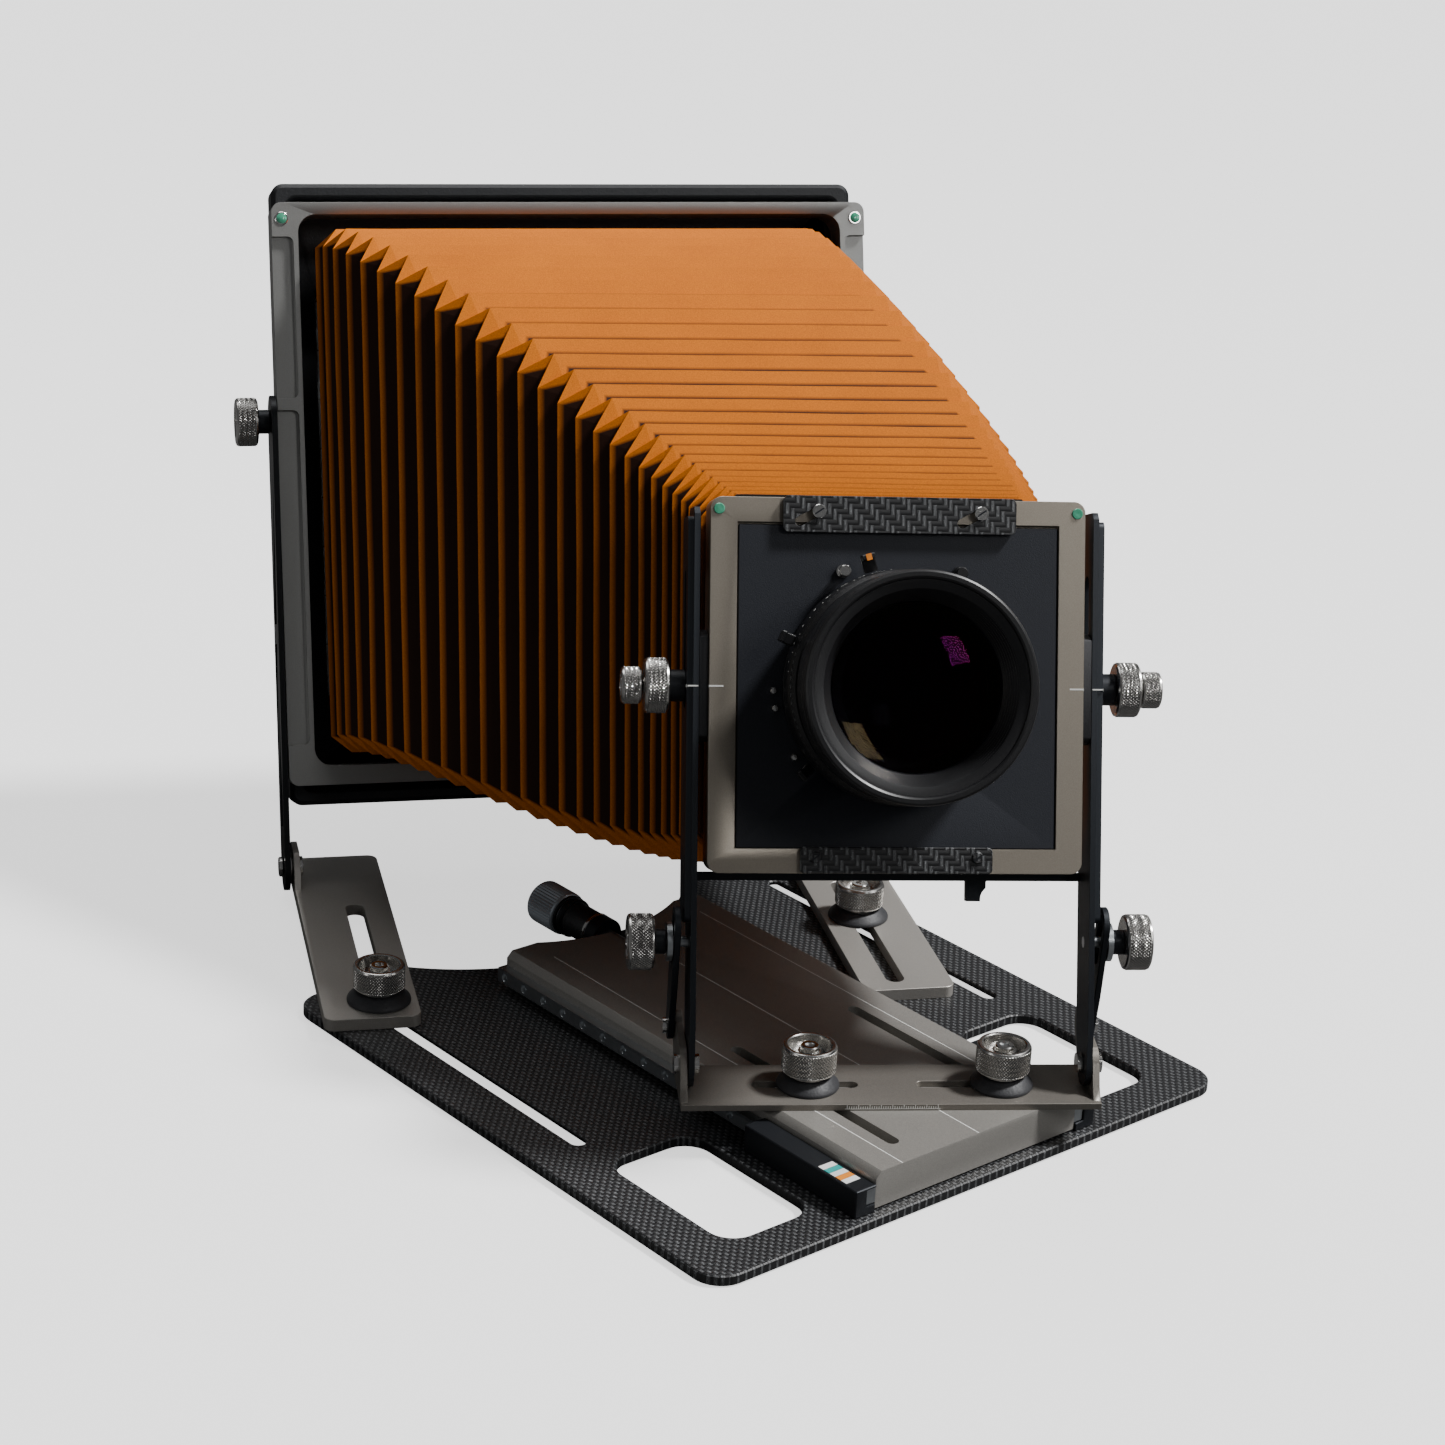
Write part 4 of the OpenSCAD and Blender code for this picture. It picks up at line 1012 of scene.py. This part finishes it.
# painted shade for the cloth's colour, bright where this is high: on the ridges, less so down the sides, and
# on the top and bottom less and less towards the front; it is dark in the valleys, and the ends of those
# panels stay bright
side_dim, side_drop = 0.4, 0.02
front_dim, front_dim_more, rear_gain = 0.23, 0.34, 0.2
part_way = row / half_folds
level_dim = part_way * part_way * front_dim_more + part_way * front_dim - rear_gain
shade_up = ridge * (upright * -side_dim + 1) - upright * side_drop - level_side * level_dim
panel_end = level_side * reach.by("ABSOLUTE").by("GREATER_THAN", 0.99) * 1.6 - 1
painted_shade_store = fold.add("GeometryNodeStoreNamedAttribute",
                {"Geometry": marked.outputs[0], "Value": shade_up.by("MAXIMUM", panel_end)},
                data_type="FLOAT", domain="POINT")
painted_shade_store.inputs["Name"].default_value = "painted_shade"
bent = fold.add("GeometryNodeSetPosition", {"Geometry": painted_shade_store.outputs[0], "Position": spot})
sewn = fold.add("GeometryNodeMergeByDistance", {"Geometry": bent.outputs[0], "Distance": 0.01})
creased = fold.add("GeometryNodeTriangulate", {0: sewn.outputs[0]}, quad_method="LONGEST_DIAGONAL")
fold.close(creased.outputs[0], fold.given.outputs["Finish"])

# the stations: from the rear frame's window to the back of the lens frame, leaving
# each one square on, closer together at the front and sagging outwards in the middle
rear_end = rear_spot @ (Vector((0.485, 6, 204.966)) / 1000)
front_end = post_spot @ (Vector((-5.476, 6.6, 168.669)) / 1000)
rear_turn, front_turn = rear_spot.to_quaternion(), post_spot.to_quaternion()
chord = front_end - rear_end
# how far the line runs on straight from each end, and the straight way between them, in metres
rear_lead, front_lead, straight = 0.2774, 0.20476, 0.287
leave = rear_turn @ Vector((0, -1, 0)) * rear_lead - chord * (rear_lead / straight)
arrive = front_turn @ Vector((0, -1, 0)) * front_lead - chord * (front_lead / straight)
# how the folds crowd, then the half sizes and round corners in millimetres, and their swelling
wave, crowding = 0.077, 0.598
rear_half, front_half, half_swell = 128.261, 77.611, 9.561
width_pinch, width_taper = 4.28, 4.374
rear_corner, front_corner, corner_swell = 6.269, 9.896, 1.447
sag_across, sag_up = -4.122, 3.957
centres, across_ways, up_ways, half_widths, half_heights, corners, fractions = [], [], [], [], [], [], []
for index in range(half_folds + 1):
    s = index / half_folds
    t = s - wave * math.sin(2 * math.pi * s) / (2 * math.pi) + crowding * s * (1 - s)
    way = rear_turn.slerp(front_turn, t)
    x_way, z_way = way @ Vector((1, 0, 0)), way @ Vector((0, 0, 1))
    bell = 4 * t * (1 - t)
    centre = (rear_end + chord * t + leave * (t ** 3 - 2 * t * t + t) + arrive * (t ** 3 - t * t)
              + (x_way * sag_across + z_way * sag_up) * (bell / 1000))
    half = rear_half * (1 - t) + front_half * t + half_swell * bell
    centres.append(centre * 1000)
    across_ways.append(x_way)
    up_ways.append(z_way)
    half_widths.append(half - width_pinch * bell - width_taper * t)
    half_heights.append(half)
    corners.append(rear_corner * (1 - t) + front_corner * t + corner_swell * bell)
    fractions.append(t)
values = {"Points Per Side": 25, "Ridge Height": 2.4, "Valley Depth": 5.6, "Unevenness": 0.5,
          "Finish": orange}
per_station = {"across": ("FLOAT_VECTOR", across_ways), "up": ("FLOAT_VECTOR", up_ways),
               "half_width": ("FLOAT", half_widths), "half_height": ("FLOAT", half_heights),
               "corner": ("FLOAT", corners)}
tube = shaped("bellows_tube", centres, per_station, pleating,
              {pleating_inputs[k]: v for k, v in values.items()})
tube.materials.append(lining)
work = bmesh.new()
work.from_mesh(tube)
bmesh.ops.recalc_face_normals(work, faces=work.faces)
work.normal_update()
if max(work.verts, key=lambda vert: vert.co.z).normal.z < 0:
    bmesh.ops.reverse_faces(work, faces=work.faces)
work.to_mesh(tube)
work.free()
tube_shape = bpy.data.objects.new("bellows_tube", tube)
bpy.context.collection.objects.link(tube_shape)
wall = tube_shape.modifiers.new("wall", "SOLIDIFY")
wall.thickness = 0.7
wall.offset = -1.0
wall.material_offset = 1
wall.use_rim = True
bpy.context.view_layer.update()
walled = bpy.data.meshes.new_from_object(tube_shape.evaluated_get(bpy.context.evaluated_depsgraph_get()))
bpy.data.objects.remove(tube_shape)
walled.transform(Matrix.Scale(0.001, 4))
# one length of it for each joint it crosses, from the rear frame to the lens frame
crossed = ("rear_standard", "rear_arms", "rear_base", "rear_slider", "base", "bed", "front_slider",
           "front_base", "posts", "rise_carriage", "lens_standard")
shares = (14, 50, 22, 40, 48, 34, 18, 38, 13, 10)
ends, so_far = [0], 0
for share in shares:
    so_far += share / sum(shares)
    nearest = min(range(half_folds + 1), key=lambda i: abs(fractions[i] - so_far))
    ends.append(max(nearest, ends[-1] + 1))
ends[-1] = half_folds
for index, (start, end) in enumerate(zip(ends[:-1], ends[1:])):
    work = bmesh.new()
    work.from_mesh(walled)
    layer = work.verts.layers.float["station"]
    for face in work.faces:
        face.tag = not all(start - 0.1 <= vert[layer] <= end + 0.1 for vert in face.verts)
    bmesh.ops.delete(work, geom=[face for face in work.faces if face.tag], context="FACES")
    way = (rear_turn.slerp(front_turn, (fractions[start] + fractions[end]) / 2) @ Vector((0, -1,
                                        0))).normalized()
    first = max(vert.co.dot(way) for vert in work.verts if vert[layer] < start + 0.1)
    last = min(vert.co.dot(way) for vert in work.verts if vert[layer] > end - 0.1)
    if last < first + 0.001:
        first = last = (first + last) / 2
        first, last = first - 0.0006, last + 0.0006
    mesh = bpy.data.meshes.new(f"bellows_length_{index + 1}")
    work.to_mesh(mesh)
    work.free()
    for material in (orange, lining):
        mesh.materials.append(material)
    length = bpy.data.objects.new(mesh.name, mesh)
    bpy.context.collection.objects.link(length)
    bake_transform(length, crossed[index], crossed[index + 1], start=way * first, end=way * last)
    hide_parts("bellows")
